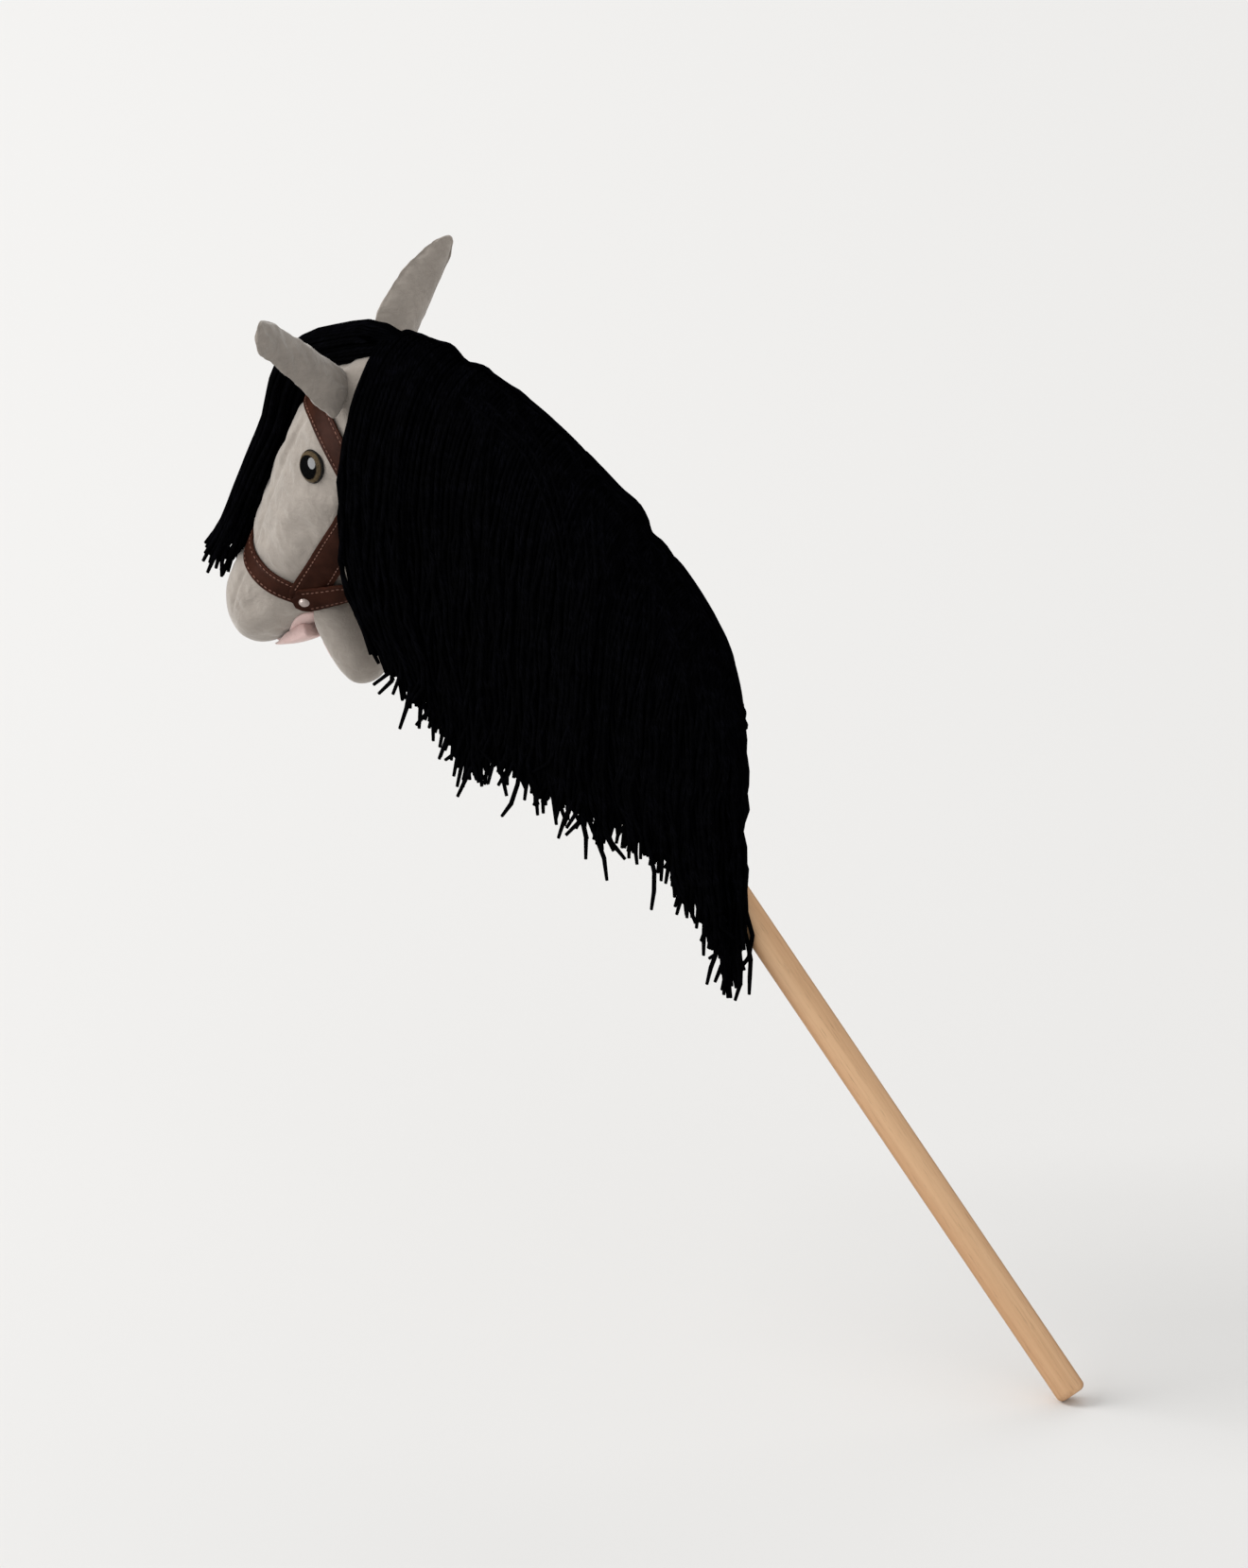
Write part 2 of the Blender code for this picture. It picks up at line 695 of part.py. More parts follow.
def build_jaw(surface, materials, toy):
    """The lower jaw hangs from a rounded end that turns in the head's socket."""
    pivot = Vector((JAW_HINGE[0], 0, JAW_HINGE[1]))
    tip = pivot + Vector((-JAW_FORWARD, 0, -JAW_LENGTH))
    run = (tip - pivot).normalized()
    deep = SIDE.cross(run).normalized()
    rings = []
    for angle in JAW_END_ANGLES:
        centre = pivot - run * JAW_HINGE_RADIUS * math.sin(angle)
        depth = JAW_HINGE_RADIUS * math.cos(angle)
        rings.append(oval(centre, SIDE, deep, JAW_HALF_WIDTH, depth, JAW_POINTS, JAW_POWER))
    for wide, thick, share in JAW_SHAPE:
        centre = pivot.lerp(tip, share)
        width, depth = JAW_HALF_WIDTH * wide, JAW_HINGE_RADIUS * thick
        rings.append(oval(centre, SIDE, deep, width, depth, JAW_POINTS, JAW_POWER))
    jaw = loft("lower_jaw", rings, materials["plush"], toy)
    front = Surface([list(ring) for ring in rings])
    start = pivot + run * LINING_START
    forward = deep if deep.x < 0 else -deep
    guide = [start.lerp(tip, share) + forward * JAW_HINGE_RADIUS for share in (0.0, 0.35, 0.7)]
    lining = strap("mouth_lining_lower", front, guide, LOWER_LINING_WIDTH, LINING_THICKNESS,
                   materials["lining"], toy, lift_at=lambda distance, length: 2 * GAP, samples=10, across=7,
                   round_end=True)
    joint("lower_jaw_flex", pivot, SIDE, (jaw, lining), toy)
    lip = smooth_between(INNER_LINE, NOSE_END - 1.2)
    back = Vector((JAW_HINGE[0] - JAW_HINGE_RADIUS - PALATE_TO_JAW, 0, lip.z))
    guide = [lip, lip.lerp(back, 0.5), back]
    strap("mouth_lining_upper", surface, guide, PALATE_WIDTH,
          lambda share: LINING_THICKNESS + PALATE_SWELL * ease(share), materials["lining"], toy,
          samples=12, across=9, round_start=True)


def build_ears(surface, materials, toy, cutters):
    """Each ear stands in a groove along its seam and flexes about it. Returns the grooves' cutters."""
    grooves = []
    for side_name, turn, reach, bow in (
        ("left", mirrored, EAR_LEFT_REACH, EAR_LEFT_BOW),
        ("right", Vector, EAR_RIGHT_REACH, EAR_RIGHT_BOW),
    ):
        seat, normal = surface.nearest(turn(EAR_BASE))
        base = seat + normal * EAR_STAND
        seam = mirrored(turn(EAR_SEAM))
        ear, axis = blade("ear_" + side_name, base, reach, bow, seam, EAR_HALF_WIDTH, EAR_HALF_THICKNESS,
                          EAR_PROFILE, materials["plush"], toy)
        if axis.y < 0:
            axis.negate()
        joint("ear_" + side_name + "_flex", base, axis, (ear,), toy)
        radius = EAR_HALF_THICKNESS + EAR_CLEARANCE
        half = EAR_HALF_WIDTH * EAR_PROFILE[0][0] + EAR_CLEARANCE
        profile = [(0, half), (radius, half), (radius, -half), (0, -half)]
        groove = turned("ear_room_" + side_name, profile, 24, None, cutters)
        aim(groove, base, axis)
        grooves.append(groove)
    return grooves


def build_halter(surface, materials, toy, cutters):
    rivet = Vector(RIVET_PLACE)
    ring = Vector(CHEEK_RING_PLACE)
    leather = materials["leather"]
    rivet_seats = {}
    for side_name, spot in (("left", rivet), ("right", mirrored(rivet))):
        place, axis = surface.nearest(spot)
        post = RIVET_POST_DIAMETER / 2
        base = GAP + 3 * LAYER
        profile = [(0, base + RIVET_HEIGHT)]
        for k in range(1, 5):
            angle = math.pi / 2 * k / 4
            profile.append((RIVET_DIAMETER / 2 * math.sin(angle), base + RIVET_HEIGHT * math.cos(angle)))
        profile += [(post, base), (post, GAP), (0, GAP)]
        aim(turned("rivet_" + side_name, profile, 16, materials["rivet"], toy), place, axis)
        hole = post + GAP
        bottom, top = RIVET_ROOM
        profile = [(0, top), (hole, top), (hole, bottom), (0, bottom)]
        cutter = turned("rivet_room_" + side_name, profile, 16, None, cutters)
        aim(cutter, place, axis)
        rivet_seats[side_name] = cutter

    face = smooth_between(OUTER_LINE, NOSEBAND_CROSSING)
    side_mid = Vector(NOSEBAND_SIDE)
    noseband = strap(
        "noseband", surface,
        past(rivet, side_mid, RIVET_TAIL) + [rivet, side_mid, face, mirrored(side_mid), mirrored(rivet)]
        + past(mirrored(rivet), mirrored(side_mid), RIVET_TAIL),
        NOSEBAND_WIDTH, STRAP_THICKNESS, leather, toy, samples=40, round_start=True, round_end=True)
    cut(noseband, *rivet_seats.values())

    jaw_side = Vector(CHIN_SIDE)
    under = Vector(CHIN_UNDER)
    chin = strap(
        "chin_strap", surface,
        past(rivet, jaw_side, RIVET_TAIL) + [rivet, jaw_side, under, mirrored(jaw_side), mirrored(rivet)]
        + past(mirrored(rivet), mirrored(jaw_side), RIVET_TAIL),
        CHIN_STRAP_WIDTH, STRAP_THICKNESS, leather, toy, lift_at=layered(2, 2, CHIN_STACKED, CHIN_STACKED),
        samples=36, round_start=True, round_end=True)
    cut(chin, *rivet_seats.values())

    middle = Vector(CHEEK_MIDDLE)
    for side_name, turn in (("left", Vector), ("right", mirrored)):
        cheek = strap(
            "cheek_strap_" + side_name, surface,
            past(turn(rivet), turn(middle), RIVET_TAIL) + [turn(rivet), turn(middle), turn(ring)]
            + past(turn(ring), turn(middle), RING_TAIL),
            CHEEK_STRAP_WIDTH, STRAP_THICKNESS, leather, toy, lift_at=layered(1, 2, *CHEEK_STACKED),
            samples=24, round_start=True, round_end=True)
        cut(cheek, rivet_seats[side_name])

    brow_low = Vector(BROW_LOW)
    brow_high = Vector(BROW_HIGH)
    forehead = smooth_between(OUTER_LINE, BROW_CROSSING)
    strap(
        "brow_strap", surface,
        [ring, brow_low, brow_high, forehead, mirrored(brow_high), mirrored(brow_low), mirrored(ring)],
        BROW_STRAP_WIDTH, STRAP_THICKNESS, leather, toy, samples=44)
    crown_low = Vector(CROWN_LOW)
    crown_mid = Vector(CROWN_HIGH)
    crest = smooth_between(OUTER_LINE, CROWN_CROSSING)
    strap(
        "crown_strap", surface,
        [ring, crown_low, crown_mid, crest, mirrored(crown_mid), mirrored(crown_low), mirrored(ring)],
        CROWN_STRAP_WIDTH, STRAP_THICKNESS, leather, toy, lift_at=layered(1, 1, CROWN_STACKED, CROWN_STACKED),
        samples=44)


def past(end, before, tail):
    """The point that lies a tail's length past a line's end."""
    return [end + (end - before).normalized() * tail]


def build_tapes(surface, materials, toy):
    """The tape that the yarn is sewn to, on each side of the crown strap."""
    before = smooth_between(OUTER_LINE, CROWN_CROSSING - 0.5)
    after = smooth_between(OUTER_LINE, CROWN_CROSSING + 0.5)
    room = (CROWN_STRAP_WIDTH / 2 + TAPE_TO_STRAP) / (after - before).length
    for name, first, last, samples in (
        ("mane_tape_poll", CROWN_CROSSING + room, MANE_FRONT + 0.45, 9),
        ("mane_tape_neck", MANE_REAR, CROWN_CROSSING - room, 24),
    ):
        guide = [smooth_between(OUTER_LINE, first + (last - first) * k / 8) for k in range(9)]
        strap(name, surface, guide, TAPE_WIDTH, TAPE_THICKNESS, materials["tape"], toy, samples=samples,
              across=3)


def mane_lift(share):
    """The yarn's height off the skin: it clears the stacked strap ends under the front of the mane."""
    return MANE_LIFT + MANE_BUCKLE_LIFT * (1 - ease((share - 0.10) / 0.14))


def mane_column(surface, share, drop, wrap):
    """One line of yarn: from the right of the crest over it, down the horse's left side to the widest place
    and on from there as it hangs. Returns its under side and its outer side. wrap turns its outer side to the
    back, for the last lines of the mane."""
    station = MANE_FRONT + (MANE_REAR - MANE_FRONT) * share
    crest = smooth_between(OUTER_LINE, station)
    out = crest_normal(station)
    places, outward, falls = [], [], []
    for aside in (MANE_FAR_SIDE, 0.5 * MANE_FAR_SIDE):
        place, normal = surface.nearest(crest + SIDE * aside - out * 0.2 * aside)
        places.append(place)
        outward.append(normal.lerp(FORE_AFT, wrap).normalized())
        falls.append(0.0)
    places.append(crest)
    outward.append(out.lerp(FORE_AFT, wrap).normalized())
    falls.append(0.0)
    widest = 0.0
    hanging = 0.0
    last_on_skin = 0.0
    for k in range(1, MANE_ROWS):
        fall = drop * (k / (MANE_ROWS - 1)) ** 1.5
        spot = crest + DOWN * fall
        hit, normal = surface.from_left(spot)
        reach = -hit.y if hit else 0.0
        if reach >= widest - 0.0002:
            widest = max(reach, widest)
            direction = normal.lerp(-SIDE, 0.2).normalized()
            last_on_skin = fall
        else:
            hanging = min(1.0, hanging + 0.34)
            direction = outward[-1].lerp(-SIDE, hanging).normalized()
        away = widest + MANE_LEAN_OUT * max(0.0, fall - last_on_skin - 0.02)
        places.append(Vector((spot.x, -away, spot.z)))
        outward.append(direction.lerp(FORE_AFT, wrap).normalized())
        falls.append(fall)
    lift = mane_lift(share)
    under, over = [], []
    for place, direction, fall in zip(places, outward, falls):
        thick = MANE_ROOT_THICKNESS + (MANE_THICKNESS - MANE_ROOT_THICKNESS) * ease(fall / 0.05)
        thick += (MANE_TIP_THICKNESS - thick) * ease((fall / drop - 0.72) / 0.28)
        under.append(place + direction * lift)
        over.append(place + direction * (lift + thick))
    return under, over


def mane_drop(share, turn):
    """How far the yarn hangs, from the front of the swinging hanks, 0, to their rear, 1, and from there to
    the end of the rear bunch, 2. turn numbers the lines of yarn, whose ends are ragged."""
    if share <= 1:
        drop = smooth_between(MANE_DROPS, (len(MANE_DROPS) - 1) * share)
    else:
        drop = smooth_between(MANE_REAR_DROPS, (len(MANE_REAR_DROPS) - 1) * (share - 1))
    return drop + MANE_RAGGED * (0.5 if turn % 2 else -0.5) * (1.0 if turn % 3 else 0.4)


def slide_to_plane(point, plane_point, plane_normal):
    """Moves a point along the yarn's fall to a plane."""
    return point + DOWN * ((plane_point - point).dot(plane_normal) / DOWN.dot(plane_normal))


def build_mane(surface, materials, toy):
    """The roots stay on the crest, the hanks below them swing about a straight line along the neck, and the
    rear bunch lies on the neck's end."""
    front = smooth_between(OUTER_LINE, MANE_FRONT)
    rear = smooth_between(OUTER_LINE, MANE_REAR)
    chord = (rear - front).normalized()
    inward = SIDE.cross(chord).normalized()
    if inward.x > 0:
        inward.negate()
    hinge_point = front + inward * MANE_HINGE_DEPTH
    above_hinge, below_hinge = MANE_HINGE_MARGINS
    hank_end = MANE_REAR_BUNCH - MANE_HANK_GAP / (rear - front).length
    roots = ([], [])
    outermost = 0.0
    hanks = []
    turn = 0
    for hank in range(MANE_HANKS):
        fall = ([], [])
        for column in range(HANK_COLUMNS):
            inside = column / (HANK_COLUMNS - 1)
            share = hank_end * (hank + inside) / MANE_HANKS
            if column == HANK_COLUMNS - 1 and hank < MANE_HANKS - 1:
                share -= MANE_HANK_GAP / (rear - front).length
            turn += 1
            sides = mane_column(surface, share, mane_drop(share / MANE_REAR_BUNCH, turn), 0.0)
            beyond = [(p - hinge_point).dot(inward) for p in sides[0]]
            split = next(k for k in range(4, MANE_ROWS + 2) if beyond[k] > below_hinge)
            for which, points in enumerate(sides):
                upper = slide_to_plane(points[split], hinge_point - inward * MANE_HINGE_GAP, inward)
                lower = slide_to_plane(points[split], hinge_point, inward)
                kept = [p for p in points[:split] if (p - upper).dot(inward) < -above_hinge]
                if column < HANK_COLUMNS - 1 or hank == MANE_HANKS - 1:
                    roots[which].append(resampled(kept + [upper], ROOT_POINTS))
                fall[which].append([lower] + list(points[split + 1:]))
        lines = [[resampled(line, HANK_POINTS) for line in side] for side in fall]
        for low, high in zip(*lines):
            for k, share in ((0, 0.45), (1, 0.8)):
                high[k] = low[k].lerp(high[k], share)
            high[0] = slide_to_plane(high[0], hinge_point, inward)
            outermost = min(outermost, high[0].y)
        hanks.append(slab("mane_hank_" + str(hank + 1), lines[0], lines[1], materials["yarn"], toy))
    slab("mane_roots", roots[0], roots[1], materials["yarn"], toy)
    joint("mane_swing", Vector((hinge_point.x, outermost, hinge_point.z)), -chord, hanks, toy)

    sides = ([], [])
    for column in range(BUNCH_COLUMNS):
        inside = column / (BUNCH_COLUMNS - 1)
        share = MANE_REAR_BUNCH + (1 - MANE_REAR_BUNCH) * inside
        turn += 1
        wrap = ease((inside - 0.45) / 0.5)
        pair = mane_column(surface, share, mane_drop(1 + inside, turn), wrap)
        for which, points in enumerate(pair):
            sides[which].append(resampled(points, BUNCH_POINTS))
    slab("mane_rear_bunch", sides[0], sides[1], materials["yarn"], toy)


def build_forelock(surface, materials, toy):
    """The forelock lies on the poll and the face. Its rounded end turns about a line across the poll."""
    first, last = MANE_FRONT + FORELOCK_START, FORELOCK_LEAVES_FACE
    line = [smooth_between(OUTER_LINE, first + (last - first) * k / 60) for k in range(61)]
    reach = sum((b - a).length for a, b in zip(line, line[1:]))
    kept = line + [line[-1] + (line[-1] - line[-4]).normalized() * (FORELOCK_LENGTH - reach)]
    path = resampled(kept, FORELOCK_POINTS)
    last_point = FORELOCK_POINTS - 1
    rings = []
    centres = []
    for k, place in enumerate(path):
        run = (path[min(k + 1, last_point)] - path[max(k - 1, 0)]).normalized()
        out = run.cross(SIDE).normalized()
        if out.z < 0:
            out.negate()
        share = k / last_point
        wide = FORELOCK_HALF_WIDTH * (0.86 + 0.24 * ease(share / 0.7))
        tip = ease((share - 0.86) / 0.14)
        thick = FORELOCK_HALF_THICKNESS * (1 - 0.45 * tip)
        wide *= 1 - 0.30 * tip
        arch = FORELOCK_ARCH * math.sin(math.pi * min(1.0, share / FORELOCK_ARCH_END)) ** 2
        centre = place + out * (FORELOCK_LIFT + FORELOCK_HALF_THICKNESS + arch + FORELOCK_STAND_OFF * share**1.5)
        centres.append((centre, run, out, wide, thick))
    root, root_run, root_out, root_wide, root_thick = centres[0]
    for angle in FOOT_ANGLES:
        centre = root - root_run * root_thick * math.sin(angle)
        rings.append(oval(centre, SIDE, root_out, root_wide, root_thick * math.cos(angle)))
    for centre, run, out, wide, thick in centres:
        rings.append(oval(centre, SIDE, out, wide, thick))
    forelock = loft("forelock", rings, materials["yarn"], toy)
    joint("forelock_swing", root, SIDE, (forelock,), toy)


def main():
    clear_scene()
    toy = new_collection("hobby_horse")
    cutters = new_collection("cutters", hidden=True)
    materials = build_materials()
    surface = Surface(skin_rings(0, NOSE_END, 8, 72))
    build_stick(materials, toy)
    build_tie(materials, toy)
    grooves = build_ears(surface, materials, toy, cutters)
    build_head_and_neck(surface, grooves, materials, toy, cutters)
    build_jaw(surface, materials, toy)
    build_halter(surface, materials, toy, cutters)
    build_tapes(surface, materials, toy)
    build_mane(surface, materials, toy)
    build_forelock(surface, materials, toy)
    frame = bpy.data.objects.new("toy_frame", None)
    toy.objects.link(frame)
    frame.rotation_euler = (0, -LEAN, 0)
    for thing in list(toy.objects) + list(cutters.objects):
        if thing is not frame and not thing.parent:
            thing.parent = frame


main()
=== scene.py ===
"""Hobby horse: the finish of every surface, the stuffed plush head and ears, the halter and the yarn mane.

Places are in metres in the frame's own axes: +Z up, the head faces -X, +Y is the horse's right. The stick
leans, so sizes along and across it are turned into that frame by toy().
"""

import bisect
import json
import math
import random

import bmesh
import bpy
from mathutils import Matrix, Vector, noise
from mathutils.bvhtree import BVHTree


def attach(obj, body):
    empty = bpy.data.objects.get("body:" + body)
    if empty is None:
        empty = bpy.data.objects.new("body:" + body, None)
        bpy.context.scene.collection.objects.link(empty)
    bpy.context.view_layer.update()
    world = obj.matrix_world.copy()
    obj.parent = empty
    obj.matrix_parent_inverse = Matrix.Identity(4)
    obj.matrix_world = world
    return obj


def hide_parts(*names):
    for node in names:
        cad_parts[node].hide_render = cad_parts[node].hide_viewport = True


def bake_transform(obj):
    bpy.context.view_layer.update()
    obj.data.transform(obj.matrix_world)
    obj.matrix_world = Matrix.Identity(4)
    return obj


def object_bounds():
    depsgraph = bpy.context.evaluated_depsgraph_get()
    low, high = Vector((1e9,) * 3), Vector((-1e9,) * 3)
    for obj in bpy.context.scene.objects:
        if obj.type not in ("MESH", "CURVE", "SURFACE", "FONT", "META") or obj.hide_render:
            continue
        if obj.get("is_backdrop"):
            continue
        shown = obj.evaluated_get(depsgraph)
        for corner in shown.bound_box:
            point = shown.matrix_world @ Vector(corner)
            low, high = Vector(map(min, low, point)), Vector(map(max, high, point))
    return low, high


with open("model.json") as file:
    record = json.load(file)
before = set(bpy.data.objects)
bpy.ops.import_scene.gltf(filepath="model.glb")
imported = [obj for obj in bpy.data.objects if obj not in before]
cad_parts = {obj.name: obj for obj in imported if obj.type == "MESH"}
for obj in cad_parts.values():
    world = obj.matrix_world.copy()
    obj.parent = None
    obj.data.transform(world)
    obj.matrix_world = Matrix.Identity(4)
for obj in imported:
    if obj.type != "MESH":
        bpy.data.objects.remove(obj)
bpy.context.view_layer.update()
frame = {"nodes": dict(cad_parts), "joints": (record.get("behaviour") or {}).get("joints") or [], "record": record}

# Seeds of the noise, whose vectors otherwise differ from run to run, and of the yarn's random draws
NOISE_SEED = 3
MANE_SEED = 11
FORELOCK_SEED = 5
noise.seed_set(NOISE_SEED)

bl_info = {
    "name": "Hobby Horse",
    "version": (1, 0, 0),
    "blender": (4, 5, 0),
    "location": "View3D > Sidebar > Hobby Horse",
    "description": "Dresses a stuffed hobby horse with plush, straps and yarn",
    "category": "Object",
}

# The stick's axis, and the direction square to it that runs from the nose to the crest
GRIP = next(m for m in frame["record"]["mounts"] if m["name"] == "hand_grip")
UP_STICK = Vector(GRIP["axis"]).normalized()
TO_CREST = Vector((UP_STICK.z, 0, -UP_STICK.x))
SIDE = Vector((0, 1, 0))
DOWN = Vector((0, 0, -1))
BEHIND = Vector((1, 0, 0))
HINGES = {j["name"]: Vector(j["pos_m"]) for j in frame["joints"]}


def toy(x, y, z):
    """A point given along TO_CREST, along the horse's right and up the stick."""
    return TO_CREST * x + SIDE * y + UP_STICK * z


# Stick and tie
STICK_RADIUS = 0.011
STICK_LENGTH = 0.790
STICK_ROUNDING = 0.0045
TIE_HEIGHT = 0.455
TIE_WIDTH = 0.006
TIE_THICKNESS = 0.0018
TIE_PLAY = 0.0003
TIE_SOFT_EDGE = 0.0006
TIE_BLOCK = (0.0052, 0.0072, 0.0085)
TIE_BLOCK_STANDS_OUT = 0.0016
WAIST = STICK_RADIUS + 0.0049
FRILL = WAIST + 0.004
FRILL_LENGTH = 0.014

# Skin: half widths of the neck, the cheeks and the muzzle
NECK = 0.046
CHEEK = 0.048
MUZZLE = 0.036
SECTION_POWER = 2.2

# Stations of the skin from the frill to the nose: outer line, facing inner line and half width
TIE_REACH = TIE_WIDTH / 2 + TIE_PLAY
STATIONS = [
    ((FRILL, TIE_HEIGHT - FRILL_LENGTH), (-FRILL, TIE_HEIGHT - FRILL_LENGTH), FRILL),
    ((WAIST, TIE_HEIGHT - TIE_REACH), (-WAIST, TIE_HEIGHT - TIE_REACH), WAIST),
    ((WAIST, TIE_HEIGHT + TIE_REACH), (-WAIST, TIE_HEIGHT + TIE_REACH), WAIST),
    ((0.044, 0.484), (-0.034, 0.486), 0.64 * NECK),
    ((0.079, 0.527), (-0.050, 0.532), 0.86 * NECK),
    ((0.097, 0.582), (-0.062, 0.590), 0.96 * NECK),
    ((0.100, 0.641), (-0.071, 0.648), NECK),
    ((0.095, 0.701), (-0.076, 0.698), NECK),
    ((0.085, 0.755), (-0.080, 0.727), NECK),
    ((0.068, 0.803), (-0.086, 0.738), 0.98 * CHEEK),
    ((0.045, 0.846), (-0.093, 0.742), CHEEK),
    ((0.017, 0.880), (-0.100, 0.745), CHEEK),
    ((-0.022, 0.892), (-0.107, 0.747), CHEEK),
    ((-0.056, 0.887), (-0.115, 0.749), 0.96 * CHEEK),
    ((-0.086, 0.873), (-0.125, 0.750), 0.92 * CHEEK),
    ((-0.114, 0.857), (-0.137, 0.751), 1.14 * MUZZLE),
    ((-0.141, 0.841), (-0.150, 0.752), 1.06 * MUZZLE),
    ((-0.165, 0.827), (-0.165, 0.753), MUZZLE),
    ((-0.186, 0.816), (-0.181, 0.753), 0.95 * MUZZLE),
    ((-0.202, 0.806), (-0.194, 0.754), 0.82 * MUZZLE),
    ((-0.212, 0.795), (-0.205, 0.758), 0.58 * MUZZLE),
    ((-0.216, 0.784), (-0.213, 0.768), 0.22 * MUZZLE),
]
OUTER_LINE = [toy(outer[0], 0, outer[1]) for outer, _, _ in STATIONS]
INNER_LINE = [toy(inner[0], 0, inner[1]) for _, inner, _ in STATIONS]
HALF_WIDTHS = [width for _, _, width in STATIONS]
NOSE_END = len(STATIONS) - 1
NOSE_ROUND = 0.005
LIP_LIFT = 0.0008

# The seams beside the face's middle panel: stations and the angle from the face's middle
SEAM_ANGLES = [0.70, 0.71, 0.71, 0.73, 0.79, 0.92, 1.10, 1.28, 1.42]
SEAM_STATIONS = (12.0, 20.6)
PANEL_CROWN = 0.0035

# How far the muzzle's front is filled out, and how far the jaw is let out and reaches down
NOSE_FILL = 0.0052
JAW_LET_OUT = 0.0012
JAW_REACH = 0.0032

# The head's mesh, round and lengthways, where its side seams lie round it, and the stations that each end
# takes to close
HEAD_MESH = (96, 168)
SEAM_TURN = math.pi / 4
END_CAP = 0.9
NOSE_SMOOTHING = 56

# Folds that the tie gathers: how many, and how deep in the frill and above the tie
FOLDS = 13
FRILL_FOLD = 0.0022
NECK_FOLD = 0.0013

# How hard the stuffing presses in the simulations, their length in frames, and the dents round the eyes
STUFFING = 4.0
EAR_STUFFING = 3.0
CLOTH_FRAMES = 20
EYE_DENT = 0.0021

# The lining's edge on the muzzle's side: stations and the angle up from the middle of its underside
LIP_STATIONS = (15.9, 19.9)
LIP_ANGLES = [0.50, 0.68, 0.71, 0.64, 0.50, 0.36, 0.24, 0.12, 0.02]

# Eyes
EYE_PLACE = toy(-0.0667, -0.045, 0.8440)
EYE_RADIUS = 0.0118
EYE_HEIGHT = 0.0050
EYE_RIM = 0.0005
EYE_TURN = 0.09
EYE_SEAT = 0.0020

# Halter
STRAPS = ("noseband", "chin_strap", "cheek_strap_left", "cheek_strap_right", "brow_strap", "crown_strap")
STRAP_THICKNESS = 0.0018
STRAP_LAYER = STRAP_THICKNESS + 0.0003
RIVET_PLACE = toy(-0.140, -0.036, 0.7685)
RING_PLACE = toy(-0.042, -0.048, 0.799)
RIVET_RADIUS = 0.0039
RIVET_HEIGHT = 0.0020
STRAP_TAIL = 0.009
STRAP_MESH_STEP = 0.0022
STRAP_CLEARANCE = 0.0003
STRAP_FALL = 0.012
STRAP_FURROW = 5 / 7
STITCH = (0.00036, 0.00048)
NOSEBAND_WIDTH = 0.0162
CHIN_STRAP_WIDTH = 0.020
CHEEK_STRAP_WIDTH = 0.024
BROW_STRAP_WIDTH = 0.019
CROWN_STRAP_WIDTH = 0.017

# Ears: where they stand, the seam's direction, how far they reach, how they bow, how far their tips curl down
# and their widths from foot to tip
EAR_BASE = toy(-0.017, 0.037, 0.875)
EAR_HALF_WIDTH = 0.0180
EAR_HALF_THICKNESS = 0.0062
EAR_SEAM = toy(0.237, 0.676, 0.760)
EAR_STAND = 0.003
EAR_MESH = (48, 60)
EAR_SWELL = 0.0011
EAR_DEPTHS = [1.0, 0.97, 0.92, 0.86, 0.80, 0.74, 0.68, 0.62, 0.52]
EARS = {
    "left": (toy(0.0245, -0.075, 0.069), toy(-0.004, 0.006, 0.010), 0.005,
             [1.08, 1.10, 1.06, 0.98, 0.92, 0.87, 0.82, 0.76, 0.64]),
    "right": (toy(0.0486, 0.0812, 0.0468), toy(-0.012, -0.008, 0.007), -0.003,
              [1.10, 1.17, 1.19, 1.17, 1.12, 1.05, 0.90, 0.66, 0.44]),
}

# Yarn, along the crest in stations
MANE_FRONT = 11.06
MANE_REAR = 4.05
REAR_BUNCH = 0.80
MANE_LIFT = 0.0042
BUCKLE_LIFT = 0.0012
MANE_FAR_SIDE = 0.018

# Where the mane's top swells and dips along the crest: shares, heights and half widths
CREST_BUMPS = [(0.125, 0.0022, 0.016), (0.173, -0.0028, 0.015), (0.214, 0.0018, 0.010),
               (0.30, 0.0012, 0.02), (0.604, 0.0030, 0.026), (0.655, -0.0036, 0.013)]
MANE_LEAN_OUT = 0.04
BEHIND_NECK = -0.014
NECK_CORNER = 0.010
REAR_FILL = 0.0070
REAR_TUCK = 0.0027
MANE_THICKNESS = 0.0125
ROOT_THICKNESS = 0.0068
TIP_THICKNESS = 0.0065
MANE_DROPS = (0.212, 0.224, 0.237, 0.240, 0.222, 0.204, 0.186, 0.172)
REAR_DROPS = (0.164, 0.170, 0.190, 0.207)
HANKS = 4
FORELOCK_FROM = 11.48
FORELOCK_LEAVES_FACE = 17.6
FORELOCK_HALF_WIDTH = 0.0165
FORELOCK_HALF_THICKNESS = 0.0120
FORELOCK_LIFT = 0.0125
FORELOCK_STAND_OFF = 0.006
FORELOCK_ARCH = 0.0105
FORELOCK_ARCH_END = 0.45
FORELOCK_LENGTH = 0.222

# The photograph's view
VIEW_AZIMUTH = math.radians(28.4)
VIEW_ELEVATION = math.radians(21.4)
VIEW_HEIGHT = 1.106
VIEW_CENTRE = (-0.3167, 0.431)
CAMERA_DISTANCE = 30.0
SENSOR = 36.0

# Softboxes: where they stand, seen from the toy's middle, their size and their power
SOFTBOXES = {
    "key_softbox": ((-6.4, -2.4, 5.2), 4.8, 560),
    "fill_softbox": ((6.0, -5.2, 3.6), 6.0, 80),
    "back_softbox": ((-3.0, 6.0, 5.2), 4.8, 104),
}
SKY_COLOUR = (1.0, 0.998, 0.993, 1)
SKY_STRENGTH = 0.67

